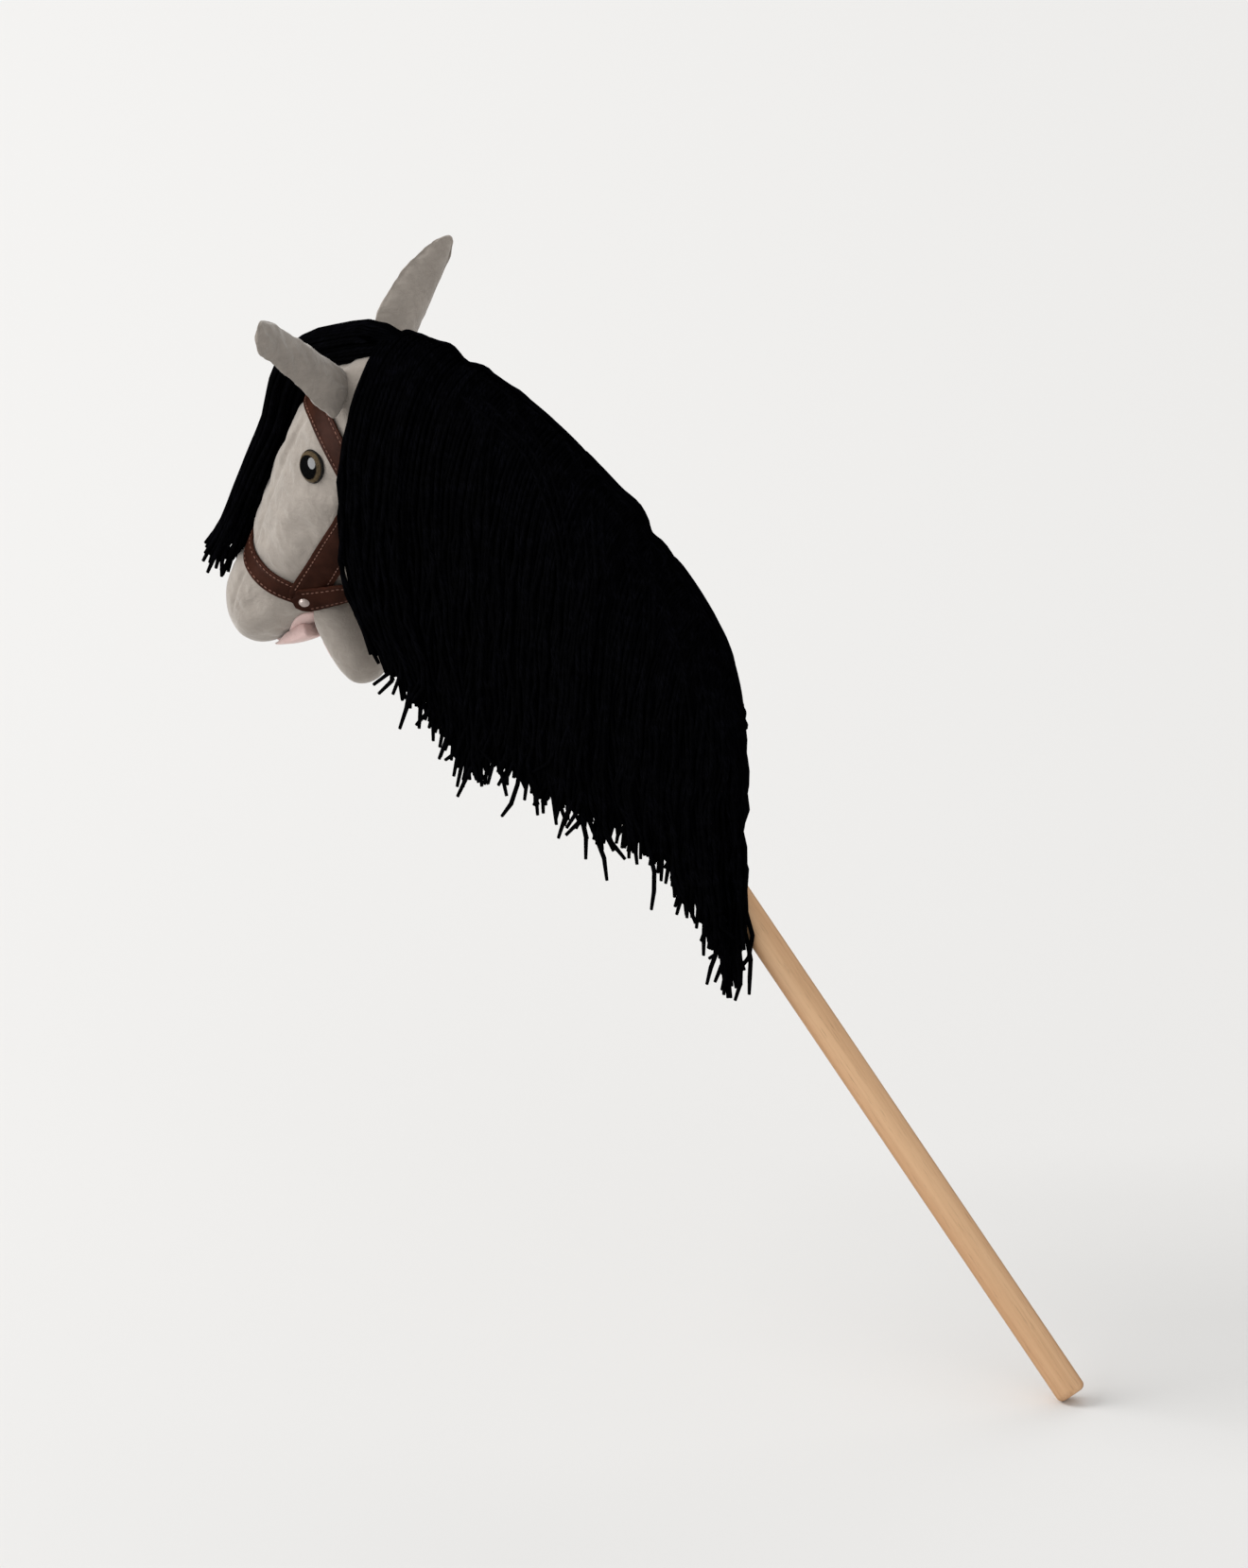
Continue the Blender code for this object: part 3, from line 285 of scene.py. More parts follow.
# The light in the eye: its angle from the camera, seen from the eye, and its size and power
CATCH_ANGLE = math.radians(68)
CATCH_RISE = 0.24
CATCH_DISTANCE = 3.0
CATCH_SIZE = 2.1
CATCH_POWER = 80


def colour_property(name, description, value):
    return bpy.props.FloatVectorProperty(
        name=name, description=description, subtype="COLOR", size=3, min=0, max=1, default=value)


def length_property(name, description, value):
    return bpy.props.FloatProperty(
        name=name, description=description, unit="LENGTH", precision=5, min=0, default=value)


class HobbyColours(bpy.types.PropertyGroup):
    plush: colour_property("Plush", "The head's and the ears' short pile", (0.337, 0.298, 0.262))
    lining: colour_property("Lining", "The inside of the mouth", (0.72, 0.52, 0.49))
    leather: colour_property("Straps", "The halter's straps", (0.0285, 0.0098, 0.0060))
    thread: colour_property("Thread", "The halter's stitches", (0.27, 0.12, 0.08))
    rivet: colour_property("Rivets", "The halter's rivet caps", (0.62, 0.52, 0.48))
    iris: colour_property("Eye rim", "The ring round each pupil", (0.085, 0.062, 0.036))
    yarn: colour_property("Yarn", "Mane and forelock", (0.0008, 0.0008, 0.0013))
    wood: colour_property("Wood", "The stick", (0.77, 0.49, 0.278))
    grain: colour_property("Grain", "The darker lines in the wood", (0.55, 0.30, 0.148))
    plastic: colour_property("Plastic", "The tie, the cap and the washers", (0.62, 0.60, 0.56))
    floor: colour_property("Floor", "The studio's floor", (0.716, 0.710, 0.700))


class HobbySizes(bpy.types.PropertyGroup):
    strand: length_property("Yarn thickness", "Diameter of one strand", 0.0036)
    strand_pitch: length_property("Yarn spacing", "Distance between strands of a layer", 0.0040)
    raggedness: length_property("Ragged ends", "How unevenly the yarn is cut", 0.013)
    stitch_pitch: length_property("Stitch pitch", "Distance from stitch to stitch", 0.0036)
    seam_depth: length_property("Seam depth", "How deep the plush draws in at a seam", 0.0016)
    swell: length_property("Swell", "How far the stuffing may push the plush", 0.0024)
    layers: bpy.props.IntProperty(
        name="Yarn layers", description="Layers of strands in the mane", default=6, min=1, max=7)


def colours():
    return bpy.context.scene.hobby_colours


def sizes():
    return bpy.context.scene.hobby_sizes


def smooth_between(values, place):
    """Catmull-Rom through evenly numbered values, each a Vector or a number."""
    last = len(values) - 1
    place = min(max(place, 0.0), float(last))
    index = min(int(place), last - 1)
    t = place - index
    before = values[max(index - 1, 0)]
    start = values[index]
    end = values[index + 1]
    after = values[min(index + 2, last)]
    slope_in = (end - before) * 0.5
    slope_out = (after - start) * 0.5
    return (
        start * (2 * t**3 - 3 * t**2 + 1)
        + slope_in * (t**3 - 2 * t**2 + t)
        + end * (3 * t**2 - 2 * t**3)
        + slope_out * (t**3 - t**2)
    )


def ease(value):
    """0 up to 0, 1 from 1 on, and a smooth step between."""
    value = min(max(value, 0.0), 1.0)
    return value * value * (3 - 2 * value)


def signed_power(value, power):
    return math.copysign(abs(value) ** power, value)


def mirrored(point):
    return Vector((point[0], -point[1], point[2]))


def along(points):
    """The distance from a line's start to each of its points."""
    reach = [0.0]
    for a, b in zip(points, points[1:]):
        reach.append(reach[-1] + (b - a).length)
    return reach


def point_at(points, reach, wanted):
    """The point and the direction at a distance along a line."""
    i = next((n for n in range(1, len(reach)) if reach[n] >= wanted), len(reach) - 1)
    share = (wanted - reach[i - 1]) / max(reach[i] - reach[i - 1], 1e-9)
    place = points[i - 1].lerp(points[i], min(max(share, 0.0), 1.0))
    before = points[max(i - 2, 0)]
    after = points[min(i + 1, len(points) - 1)]
    return place, (after - before).normalized()


def quarter(count):
    """Even angles from 0 to a right angle."""
    return [math.pi / 2 * k / count for k in range(count + 1)]


def fine_line(points):
    steps = 12 * len(points)
    return [smooth_between(points, (len(points) - 1) * k / steps) for k in range(steps + 1)]


def skin_point(station, angle):
    """A point of the skin: angle 0 is the crest, poll or face, and it grows towards the horse's right."""
    outer = smooth_between(OUTER_LINE, station)
    inner = smooth_between(INNER_LINE, station)
    width = smooth_between(HALF_WIDTHS, station)
    power = 2 + (SECTION_POWER - 2) * ease((station - 2) / 2)
    lengthways = signed_power(math.cos(angle), 2 / power)
    across = signed_power(math.sin(angle), 2 / power)
    return (outer + inner) / 2 + (outer - inner) / 2 * lengthways + SIDE * width * across


def crest_normal(station):
    """The direction outwards from the outer line, in the toy's middle plane."""
    step = 0.05
    run = smooth_between(OUTER_LINE, station + step) - smooth_between(OUTER_LINE, station - step)
    return SIDE.cross(run).normalized()


class Skin:
    """Nearest points and sideways rays on the smooth skin of the head and neck."""

    def __init__(self, around=72, per_station=8):
        rows = NOSE_END * per_station
        points = []
        for k in range(rows + 1):
            for j in range(around):
                points.append(skin_point(k / per_station, 2 * math.pi * j / around))
        faces = []
        for k in range(rows):
            for j in range(around):
                a, b = k * around + j, k * around + (j + 1) % around
                faces.append([a, b, b + around, a + around])
        middle = sum(points, Vector()) / len(points)
        outward = 0.0
        for a, b, c, _ in faces:
            outward += (points[a] - middle).dot((points[b] - points[a]).cross(points[c] - points[a]))
        if outward < 0:
            faces = [face[::-1] for face in faces]
        self.tree = BVHTree.FromPolygons(points, faces)

    def nearest(self, point):
        place, normal, _, _ = self.tree.find_nearest(point)
        return place, normal

    def from_left(self, point):
        place, normal, _, _ = self.tree.ray_cast(Vector((point.x, -1.0, point.z)), SIDE)
        return place, normal

    def from_behind(self, point):
        place, normal, _, _ = self.tree.ray_cast(Vector((1.0, point.y, point.z)), -BEHIND)
        return place, normal


SKIN = Skin()


# Mesh helpers

def deselect():
    bpy.ops.object.select_all(action="DESELECT")


def only(piece):
    deselect()
    piece.select_set(True)
    bpy.context.view_layer.objects.active = piece


def apply_all(piece):
    only(piece)
    for modifier in list(piece.modifiers):
        bpy.ops.object.modifier_apply(modifier=modifier.name)


def smooth_shade(piece, degrees=40):
    only(piece)
    bpy.ops.object.shade_smooth_by_angle(angle=math.radians(degrees))


def linked(name, data):
    """A new object with its data, in the scene."""
    piece = bpy.data.objects.new(name, data)
    bpy.context.scene.collection.objects.link(piece)
    return piece


def added(name, kind, **settings):
    """A primitive, added with nothing else selected, and named."""
    deselect()
    getattr(bpy.ops.mesh, "primitive_" + kind + "_add")(**settings)
    piece = bpy.context.active_object
    piece.name = name
    piece.data.name = name
    return piece


def modified(piece, kind, **settings):
    """Adds a modifier with its settings."""
    modifier = piece.modifiers.new(kind.lower(), kind)
    for key, value in settings.items():
        setattr(modifier, key, value)


def subdivided(piece):
    modified(piece, "SUBSURF", levels=1, render_levels=1)
    apply_all(piece)


MERGE = ("remove_doubles", {"threshold": 0.00002})
FACE_OUT = ("normals_make_consistent", {"inside": False})


def edit_whole(piece, *steps):
    """Runs mesh operators, each a name with its settings, on the whole of a piece."""
    only(piece)
    bpy.ops.object.mode_set(mode="EDIT")
    for name, settings in steps:
        bpy.ops.mesh.select_all(action="SELECT")
        getattr(bpy.ops.mesh, name)(**settings)
    bpy.ops.object.mode_set(mode="OBJECT")


def painted(piece, material):
    piece.data.materials.clear()
    piece.data.materials.append(material)


def finish_piece(piece, material, body, slot, *nodes):
    """Gives a piece its material and its body, and hides the nodes that it stands for. slot is not used."""
    painted(piece, material)
    for polygon in piece.data.polygons:
        polygon.material_index = 0
    if body:
        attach(piece, body)
    if nodes:
        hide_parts(*nodes)


def in_order(mesh):
    """Gives a mesh's parts an order that is the same each run, by their places."""
    work = bmesh.new()
    work.from_mesh(mesh)

    def by_place(vertex):
        return [round(c, 5) for c in (vertex.co.z, vertex.co.x, vertex.co.y)]

    def by_corners(part):
        return sorted(vertex.index for vertex in part.verts)

    for parts, key in ((work.verts, by_place), (work.edges, by_corners), (work.faces, by_corners)):
        rank = {part: k for k, part in enumerate(sorted(parts, key=key))}
        parts.sort(key=rank.get)
        parts.index_update()
    work.to_mesh(mesh)
    work.free()


def wrapped_sphere(name, segments, rings, shape):
    """A closed form: a sphere's points moved to shape(share from pole to pole, angle round)."""
    piece = added(name, "uv_sphere", segments=segments, ring_count=rings, radius=1)
    in_order(piece.data)
    for vertex in piece.data.vertices:
        polar = math.acos(max(-1.0, min(1.0, vertex.co.z)))
        vertex.co = shape(polar / math.pi, math.atan2(vertex.co.y, vertex.co.x))
    edit_whole(piece, FACE_OUT)
    return piece


def spun(name, profile, steps, place, axis):
    """A turned piece: profile is (radius, height) points, spun about its axis and set in its place."""
    mesh = bpy.data.meshes.new(name)
    mesh.from_pydata([(r, 0, z) for r, z in profile], [(i, i + 1) for i in range(len(profile) - 1)], [])
    piece = linked(name, mesh)
    round_z = {"steps": steps, "angle": 2 * math.pi, "center": (0, 0, 0), "axis": (0, 0, 1)}
    edit_whole(piece, ("spin", round_z), MERGE, FACE_OUT)
    in_order(mesh)
    turn = axis.to_track_quat("Z", "Y").to_matrix().to_4x4()
    mesh.transform(Matrix.Translation(place) @ turn)
    return piece


PLUSH_CLOTH = {"quality": 5, "mass": 0.2, "tension_stiffness": 12, "compression_stiffness": 12,
               "bending_stiffness": 0.4, "use_pressure": True, "shrink_min": -0.03}


def inflated(piece, held, pressure, most):
    """Presses the stuffing against the cloth: a short simulation whose movement is capped. held gives how
    firmly each vertex is sewn down."""
    group = piece.vertex_groups.new(name="sewn")
    for index, weight in enumerate(held):
        group.add([index], weight, "REPLACE")
    rest = [v.co.copy() for v in piece.data.vertices]
    cloth = piece.modifiers.new("cloth", "CLOTH")
    settings = PLUSH_CLOTH | {"uniform_pressure_force": pressure, "vertex_group_mass": "sewn"}
    for key, value in settings.items():
        setattr(cloth.settings, key, value)
    cloth.settings.effector_weights.gravity = 0
    scene = bpy.context.scene
    for number in range(1, CLOTH_FRAMES + 1):
        scene.frame_set(number)
        bpy.context.view_layer.update()
    pushed = piece.evaluated_get(bpy.context.evaluated_depsgraph_get()).to_mesh()
    moved = [v.co - start for v, start in zip(pushed.vertices, rest)]
    piece.modifiers.remove(cloth)
    piece.vertex_groups.remove(group)
    scene.frame_set(1)
    for vertex, start, shift in zip(piece.data.vertices, rest, moved):
        if shift.length > most:
            shift = shift.normalized() * most
        vertex.co = start + shift


# Material helpers

GROUPS = {}


class Tree:
    """Short ways to add and link shader nodes."""

    def __init__(self, tree):
        self.nodes = tree.nodes
        self.links = tree.links

    def add(self, kind, values=None, **settings):
        node = self.nodes.new(kind)
        for key, value in settings.items():
            setattr(node, key, value)
        for key, value in (values or {}).items():
            self.put(node.inputs[key], value)
        return node

    def put(self, socket, value):
        if isinstance(value, bpy.types.NodeSocket):
            self.links.new(value, socket)
        else:
            socket.default_value = value

    def mix(self, factor, first, second):
        values = {"Factor": factor, "A": first, "B": second}
        return self.add("ShaderNodeMix", values, data_type="RGBA").outputs["Result"]

    def tinted(self, base, colour, mask, strength):
        """Lays a colour over a base where a mask has it, at a strength."""
        return self.mix(self.math("MULTIPLY", mask, strength), base, colour)

    def math(self, operation, first, second=0.0):
        return self.add("ShaderNodeMath", {0: first, 1: second}, operation=operation).outputs[0]

    def weighed(self, *parts, base=0.0):
        """A base and (value, weight) parts added up."""
        for value, weight in parts:
            values = {0: value, 1: weight, 2: base}
            base = self.add("ShaderNodeMath", values, operation="MULTIPLY_ADD").outputs[0]
        return base

    def noise(self, vector, scale, detail):
        values = {"Vector": vector, "Scale": scale, "Detail": detail, "Roughness": 0.55}
        return self.add("ShaderNodeTexNoise", values).outputs["Fac"]

    def between(self, value, low, high):
        """Takes a value from low..high to 0..1, with soft ends."""
        values = {"Value": value, "From Min": low, "From Max": high}
        return self.add("ShaderNodeMapRange", values, interpolation_type="SMOOTHSTEP").outputs["Result"]

    def clouds(self, vector, scale, detail, low, high):
        """Noise stretched to soft edged patches."""
        return self.between(self.noise(vector, scale, detail), low, high)

    def mapped(self, vector, scale, rotation=(0, 0, 0)):
        values = {"Vector": vector, "Scale": scale, "Rotation": rotation}
        return self.add("ShaderNodeMapping", values).outputs["Vector"]


def effect(name, inputs, build, with_roughness=False):
    """A shader node group, made once. An input is a vector where its default is None, a colour or a number.
    build gets the tree and the inputs, and returns the colour, the height and the roughness if it has one."""
    if name in GROUPS:
        return GROUPS[name]
    group = bpy.data.node_groups.new(name, "ShaderNodeTree")
    for label, value in inputs.items():
        kind = "Vector" if value is None else "Color" if isinstance(value, tuple) else "Float"
        socket = group.interface.new_socket(label, in_out="INPUT", socket_type="NodeSocket" + kind)
        if value is not None:
            socket.default_value = value
    outputs = {"Colour": "Color", "Height": "Float"} | ({"Roughness": "Float"} if with_roughness else {})
    for label, kind in outputs.items():
        group.interface.new_socket(label, in_out="OUTPUT", socket_type="NodeSocket" + kind)
    tree = Tree(group)
    entry = tree.add("NodeGroupInput")
    leave = tree.add("NodeGroupOutput")
    for label, socket in zip(outputs, build(tree, entry.outputs)):
        tree.links.new(socket, leave.inputs[label])
    GROUPS[name] = group
    return group


def pile_effect():
    """Short pile: soft patches where it is brushed one way or the other, and fine fibres."""

    def build(tree, source):
        place, light, shadow = source["Place"], source["Light"], source["Shadow"]
        warp = tree.add("ShaderNodeTexNoise", {"Vector": place, "Scale": 22.0, "Detail": 2.0})
        values = {0: warp.outputs["Color"], 1: (0.06, 0.06, 0.06), 2: place}
        shifted = tree.add("ShaderNodeVectorMath", values, operation="MULTIPLY_ADD").outputs[0]
        patches = tree.clouds(shifted, 34.0, 3.0, 0.36, 0.66)
        tufts = tree.clouds(shifted, 150.0, 3.0, 0.34, 0.70)
        brushed = tree.clouds(tree.mapped(place, (90, 90, 320)), 1.0, 4.0, 0.30, 0.72)
        fibres = tree.noise(tree.mapped(place, (900, 900, 1500)), 1.0, 3.0)
        colour = tree.tinted(source["Colour"], light, patches, 0.36)
        colour = tree.tinted(colour, shadow, brushed, 0.22)
        colour = tree.tinted(colour, shadow, tufts, 0.20)
        colour = tree.tinted(colour, light, tree.between(fibres, 0.35, 0.75), 0.16)
        return colour, tree.weighed((brushed, 0.35), (fibres, 0.65), (tufts, -0.5))

    return effect("short_pile", {"Place": None, "Colour": (0.4, 0.4, 0.4, 1), "Light": (0.6, 0.6, 0.6, 1),
                                 "Shadow": (0.3, 0.3, 0.3, 1)}, build)


def leather_effect():
    """Strap leather: a fine pebbled grain, worn lighter along the edges, which the UV map gives."""

    def build(tree, source):
        place, worn = source["Place"], source["Worn"]
        pebbles = tree.add("ShaderNodeTexVoronoi", {"Vector": place, "Scale": 1300.0}).outputs["Distance"]
        creases = tree.noise(place, 420.0, 4.0)
        split = tree.add("ShaderNodeSeparateXYZ", {"Vector": source["Map"]})
        across = tree.math("ABSOLUTE", tree.math("SUBTRACT", split.outputs["Y"], 0.5))
        rubbed = tree.math("MULTIPLY", tree.between(across, 0.40, 0.50), tree.between(creases, 0.35, 0.65))
        colour = tree.tinted(source["Colour"], worn, tree.clouds(place, 60.0, 3.0, 0.35, 0.7), 0.55)
        colour = tree.tinted(colour, worn, rubbed, 0.75)
        height = tree.weighed((pebbles, 0.6), (creases, 0.5))
        return colour, height, tree.weighed((creases, 0.25), base=0.33)

    return effect("strap_leather", {"Place": None, "Map": None, "Colour": (0.05, 0.02, 0.01, 1),
                                    "Worn": (0.12, 0.05, 0.03, 1)}, build, with_roughness=True)


def twist_effect():
    """Twisted yarn: plies that wind round the strand, from a UV map whose Y is the length in metres, with a
    painted highlight on the plies' crests.
    """

    def build(tree, source):
        split = tree.add("ShaderNodeSeparateXYZ", {"Vector": source["Map"]})
        turns = tree.math("MULTIPLY", split.outputs["Y"], source["Turns"])
        wound = tree.weighed((split.outputs["X"], 3.0), base=turns)
        ply = tree.math("ABSOLUTE", tree.math("SINE", tree.math("MULTIPLY", wound, math.pi)))
        fuzz = tree.noise(source["Place"], 2600.0, 3.0)
        # Painted highlight: the plies' crests are tinted towards the Light colour, in soft patches.
        ply_highlight = tree.math("MULTIPLY", ply, tree.clouds(source["Place"], 120.0, 2.0, 0.4, 0.7))
        colour = tree.tinted(source["Colour"], source["Light"], ply_highlight, 0.8)
        return colour, tree.weighed((ply, 0.8), (fuzz, 0.35))

    return effect("twisted_yarn", {"Map": None, "Place": None, "Turns": 160.0,
                                   "Colour": (0.01, 0.01, 0.01, 1), "Light": (0.03, 0.03, 0.03, 1)}, build)


def wood_effect():
    """Long grain that runs along the X of its coordinates, with pores and a few darker streaks."""

    def build(tree, source):
        place, grain = source["Place"], source["Grain"]
        broad = tree.clouds(tree.mapped(place, (1.6, 70, 70)), 1.0, 3.0, 0.35, 0.68)
        lines = tree.clouds(tree.mapped(place, (5, 420, 420)), 1.0, 4.0, 0.42, 0.70)
        pores = tree.clouds(tree.mapped(place, (60, 1700, 1700)), 1.0, 2.0, 0.60, 0.72)
        colour = tree.tinted(source["Colour"], grain, broad, 0.75)
        colour = tree.tinted(colour, grain, lines, 0.40)
        colour = tree.tinted(colour, (0.20, 0.10, 0.05, 1), pores, 0.35)
        height = tree.weighed((lines, -0.4), (pores, -0.6))
        return colour, height, tree.weighed((lines, 0.14), base=0.46)

    return effect("long_grain", {"Place": None, "Colour": (0.5, 0.3, 0.2, 1), "Grain": (0.4, 0.2, 0.1, 1)},
                  build, with_roughness=True)


def scuff_effect():
    """Faint uneven gloss and tone on a hard surface."""

    def build(tree, source):
        haze = tree.clouds(source["Place"], 160.0, 4.0, 0.35, 0.7)
        colour = tree.tinted(source["Colour"], source["Dull"], haze, 0.25)
        fine = tree.noise(source["Place"], 1400.0, 2.0)
        return colour, fine, tree.weighed((haze, 0.16), base=source["Gloss"])

    return effect("faint_scuffs", {"Place": None, "Colour": (0.5, 0.5, 0.5, 1), "Dull": (0.4, 0.4, 0.4, 1),
                                   "Gloss": 0.3}, build, with_roughness=True)


def shade_of(colour, factor):
    return (*[min(1.0, c * factor) for c in colour], 1)


def shades(colour, **factors):
    """A group's colour inputs, each the colour times its factor."""
    return {label: shade_of(colour, factor) for label, factor in factors.items()}


def new_material(name, constants):
    """A material with constants set on its shader. Gives the material, its tree and the shader."""
    material = bpy.data.materials.new(name)
    material.use_nodes = True
    tree = Tree(material.node_tree)
    shader = tree.nodes["Principled BSDF"]
    for label, value in constants.items():
        shader.inputs[label].default_value = value
    return material, tree, shader


def surface_material(name, group, inputs, bump, constants, turned=None):
    """A material whose group feeds Base Color, Roughness where it has one, and a Bump node. bump is its
    strength and distance, and turned is how far its coordinates are turned."""
    material, tree, shader = new_material(name, constants)
    source = tree.add("ShaderNodeTexCoord")
    coordinates = source.outputs["Object"]
    if turned:
        coordinates = tree.mapped(coordinates, (1, 1, 1), turned)
    node = tree.add("ShaderNodeGroup", node_tree=group)
    for label, value in (inputs | {"Place": coordinates, "Map": source.outputs["UV"]}).items():
        if label in node.inputs:
            tree.put(node.inputs[label], value)
    tree.put(shader.inputs["Base Color"], node.outputs["Colour"])
    if "Roughness" in node.outputs:
        tree.put(shader.inputs["Roughness"], node.outputs["Roughness"])
    strength, distance = bump
    relief = tree.add("ShaderNodeBump", {
        "Strength": strength, "Distance": distance, "Height": node.outputs["Height"]})
    tree.put(shader.inputs["Normal"], relief.outputs["Normal"])
    return material


def plush_material(name, colour, light=1.32, shadow=0.72):
    return surface_material(
        name, pile_effect(), shades(colour, Colour=1, Light=light, Shadow=shadow), (0.55, 0.0009),
        {"Roughness": 0.92, "Sheen Weight": 0.60, "Sheen Roughness": 0.40,
         "Sheen Tint": (1.0, 0.97, 0.93, 1), "Specular IOR Level": 0.2})


def painted_shade_ear_material(side, tint, factor):
    """Each ear's plush is the plush colour times a factor: painted shade that darkens the left ear, and painted
    light that lifts the right one a little. Its Light and Shadow tones lie further apart than the head's.
    """
    return plush_material("grey_ear_plush_painted_shade_" + side, [factor * c for c in tint.plush], 1.4, 0.58)


def wood_material(tint):
    """The grain follows the stick, so the coordinates are turned until their X runs along it."""
    lean = math.atan2(UP_STICK.z, UP_STICK.x)
    return surface_material(
        "pale_dowel_wood", wood_effect(), shades(tint.wood, Colour=1) | shades(tint.grain, Grain=1),
        (0.25, 0.0004), {"Specular IOR Level": 0.35}, turned=(0, lean, 0))


MATERIALS = {}
MAKERS = {
    "plush": lambda tint: plush_material("grey_plush", tint.plush),
    # The ears' factors are painted light and shade: 0.82 darkens the left ear, 1.02 lightens the right one.
    "ear_plush_left": lambda tint: painted_shade_ear_material("left", tint, 0.82),
    "ear_plush_right": lambda tint: painted_shade_ear_material("right", tint, 1.02),
    "lining": lambda tint: plush_material("pink_lining", tint.lining, 1.2, 0.82),
    "leather": lambda tint: surface_material(
        "brown_strap_leather", leather_effect(), shades(tint.leather, Colour=1, Worn=2.2),
        (0.35, 0.0003), {"Specular IOR Level": 0.04}),
    # The thread's Light tone is the colour of the painted highlight on its plies.
    "thread": lambda tint: surface_material(
        "strap_thread", twist_effect(), shades(tint.thread, Colour=0.7, Light=1.3) | {"Turns": 500.0},
        (0.3, 0.0002), {"Roughness": 0.7}),
    "rivet": lambda tint: surface_material(
        "pale_rivet_metal", scuff_effect(), shades(tint.rivet, Colour=1, Dull=0.75) | {"Gloss": 0.30},
        (0.12, 0.0002), {"Metallic": 0.25}),
    # The yarn's Light tone is the colour of the painted highlight on its plies.
    "yarn": lambda tint: surface_material(
        "black_yarn", twist_effect(), shades(tint.yarn, Colour=1, Light=3.2),
        (0.6, 0.0007), {"Roughness": 0.8, "Specular IOR Level": 0.015}),
    "tape": lambda tint: surface_material(
        "black_tape", pile_effect(), shades(tint.yarn, Colour=1.6, Light=3, Shadow=1),
        (0.4, 0.0005), {"Roughness": 0.9}),
    "wood": wood_material,
    "plastic": lambda tint: surface_material(
        "plain_plastic", scuff_effect(), shades(tint.plastic, Colour=1, Dull=0.86) | {"Gloss": 0.35},
        (0.08, 0.0002), {"Specular IOR Level": 0.5}),
}


def material_of(name):
    """The named material, made when it is first asked for."""
    if name not in MATERIALS:
        MATERIALS[name] = MAKERS[name](colours())
    return MATERIALS[name]


def eye_material(name):
    """A black pupil and an olive brown ring, told apart by the distance from the eye's axis."""
    tint = colours()
    material, tree, shader = new_material(name, {"Roughness": 0.06, "Specular IOR Level": 0.5})
    radius = tree.add("ShaderNodeAttribute", attribute_name="from_axis").outputs["Fac"]
    streaks = tree.clouds(tree.add("ShaderNodeTexCoord").outputs["Object"], 900.0, 3.0, 0.3, 0.7)
    inside = tree.math("SUBTRACT", 1.0, tree.between(radius, 0.93, 0.99))
    ring = tree.math("MULTIPLY", tree.between(radius, 0.70, 0.80), inside)
    iris = tree.mix(streaks, shade_of(tint.iris, 0.7), shade_of(tint.iris, 1.5))
    tree.put(shader.inputs["Base Color"], tree.mix(ring, (0.004, 0.004, 0.004, 1), iris))
    return material


# Stick, tie and small fittings

def build_stick():
    """The turned dowel with its rounded ends, very slightly uneven."""
    rounding = [(STICK_RADIUS - STICK_ROUNDING * (1 - math.sin(a)), STICK_ROUNDING * (1 - math.cos(a)))
                for a in quarter(8)]
    top = [(r, STICK_LENGTH - z) for r, z in rounding]
    lengths = [(STICK_RADIUS, STICK_LENGTH * k / 40) for k in range(1, 40)]
    profile = [(0, STICK_LENGTH), (0.5 * STICK_RADIUS, STICK_LENGTH)] + top + lengths[::-1]
    profile += rounding[::-1] + [(0.5 * STICK_RADIUS, 0), (0, 0)]
    stick = spun("turned_stick", profile, 64, Vector(), UP_STICK)
    for vertex in stick.data.vertices:
        reach = vertex.co.dot(UP_STICK)
        off = vertex.co - UP_STICK * reach
        vertex.co = UP_STICK * reach + off * (1 - 0.006 * (0.5 + 0.5 * noise.noise(vertex.co * 30)))
    smooth_shade(stick)
    finish_piece(stick, material_of("wood"), "root", "wood", "stick")


def build_tie():
    """The band that gathers the neck's cloth on the stick, with the small block that locks it."""
    inner = WAIST + TIE_PLAY
    outer = inner + TIE_THICKNESS
    half = TIE_WIDTH / 2
    soft = TIE_SOFT_EDGE
    profile = [(inner, half), (outer - soft, half), (outer, half - soft), (outer, soft - half),
               (outer - soft, -half), (inner, -half), (inner, half)]
    tie = spun("neck_gathering_tie", profile, 72, toy(0, 0, TIE_HEIGHT), UP_STICK)
    block = added("tie_block", "cube", size=1)
    block.data.transform(Matrix.Diagonal((*TIE_BLOCK, 1)))
    modified(block, "BEVEL", width=0.0009, segments=3)
    apply_all(block)
    turn = Matrix((TO_CREST, SIDE, UP_STICK)).transposed().to_4x4()
    place = toy(0, outer + TIE_BLOCK_STANDS_OUT, TIE_HEIGHT)
    block.data.transform(Matrix.Translation(place) @ turn)
    only(tie)
    block.select_set(True)
    bpy.ops.object.join()
    smooth_shade(tie)
    finish_piece(tie, material_of("plastic"), "root", "plastic", "neck_tie")


def dress_fittings():
    """The hidden fittings keep their shape and get their finish."""
    for node in ("stick_cap", "eye_washer_left", "eye_washer_right"):
        painted(frame["nodes"][node], material_of("plastic"))
    for node in ("mane_tape_poll", "mane_tape_neck"):
        painted(frame["nodes"][node], material_of("tape"))


# Stuffed plush

def seam_angle(station):
    """The angle of the seam beside the face's panel."""
    first, last = SEAM_STATIONS
    return smooth_between(SEAM_ANGLES, (len(SEAM_ANGLES) - 1) * (station - first) / (last - first))


def skin_place(share, turn):
    """The skin's station and angle for a share from the frill to the nose and a turn round the sphere."""
    station = -END_CAP + (NOSE_END + 2 * END_CAP) * share
    line = seam_angle(station)
    if abs(turn) <= SEAM_TURN:
        angle = abs(turn) / SEAM_TURN * line
    else:
        angle = line + (abs(turn) - SEAM_TURN) / (math.pi - SEAM_TURN) * (math.pi - line)
    return station, math.copysign(angle, turn)


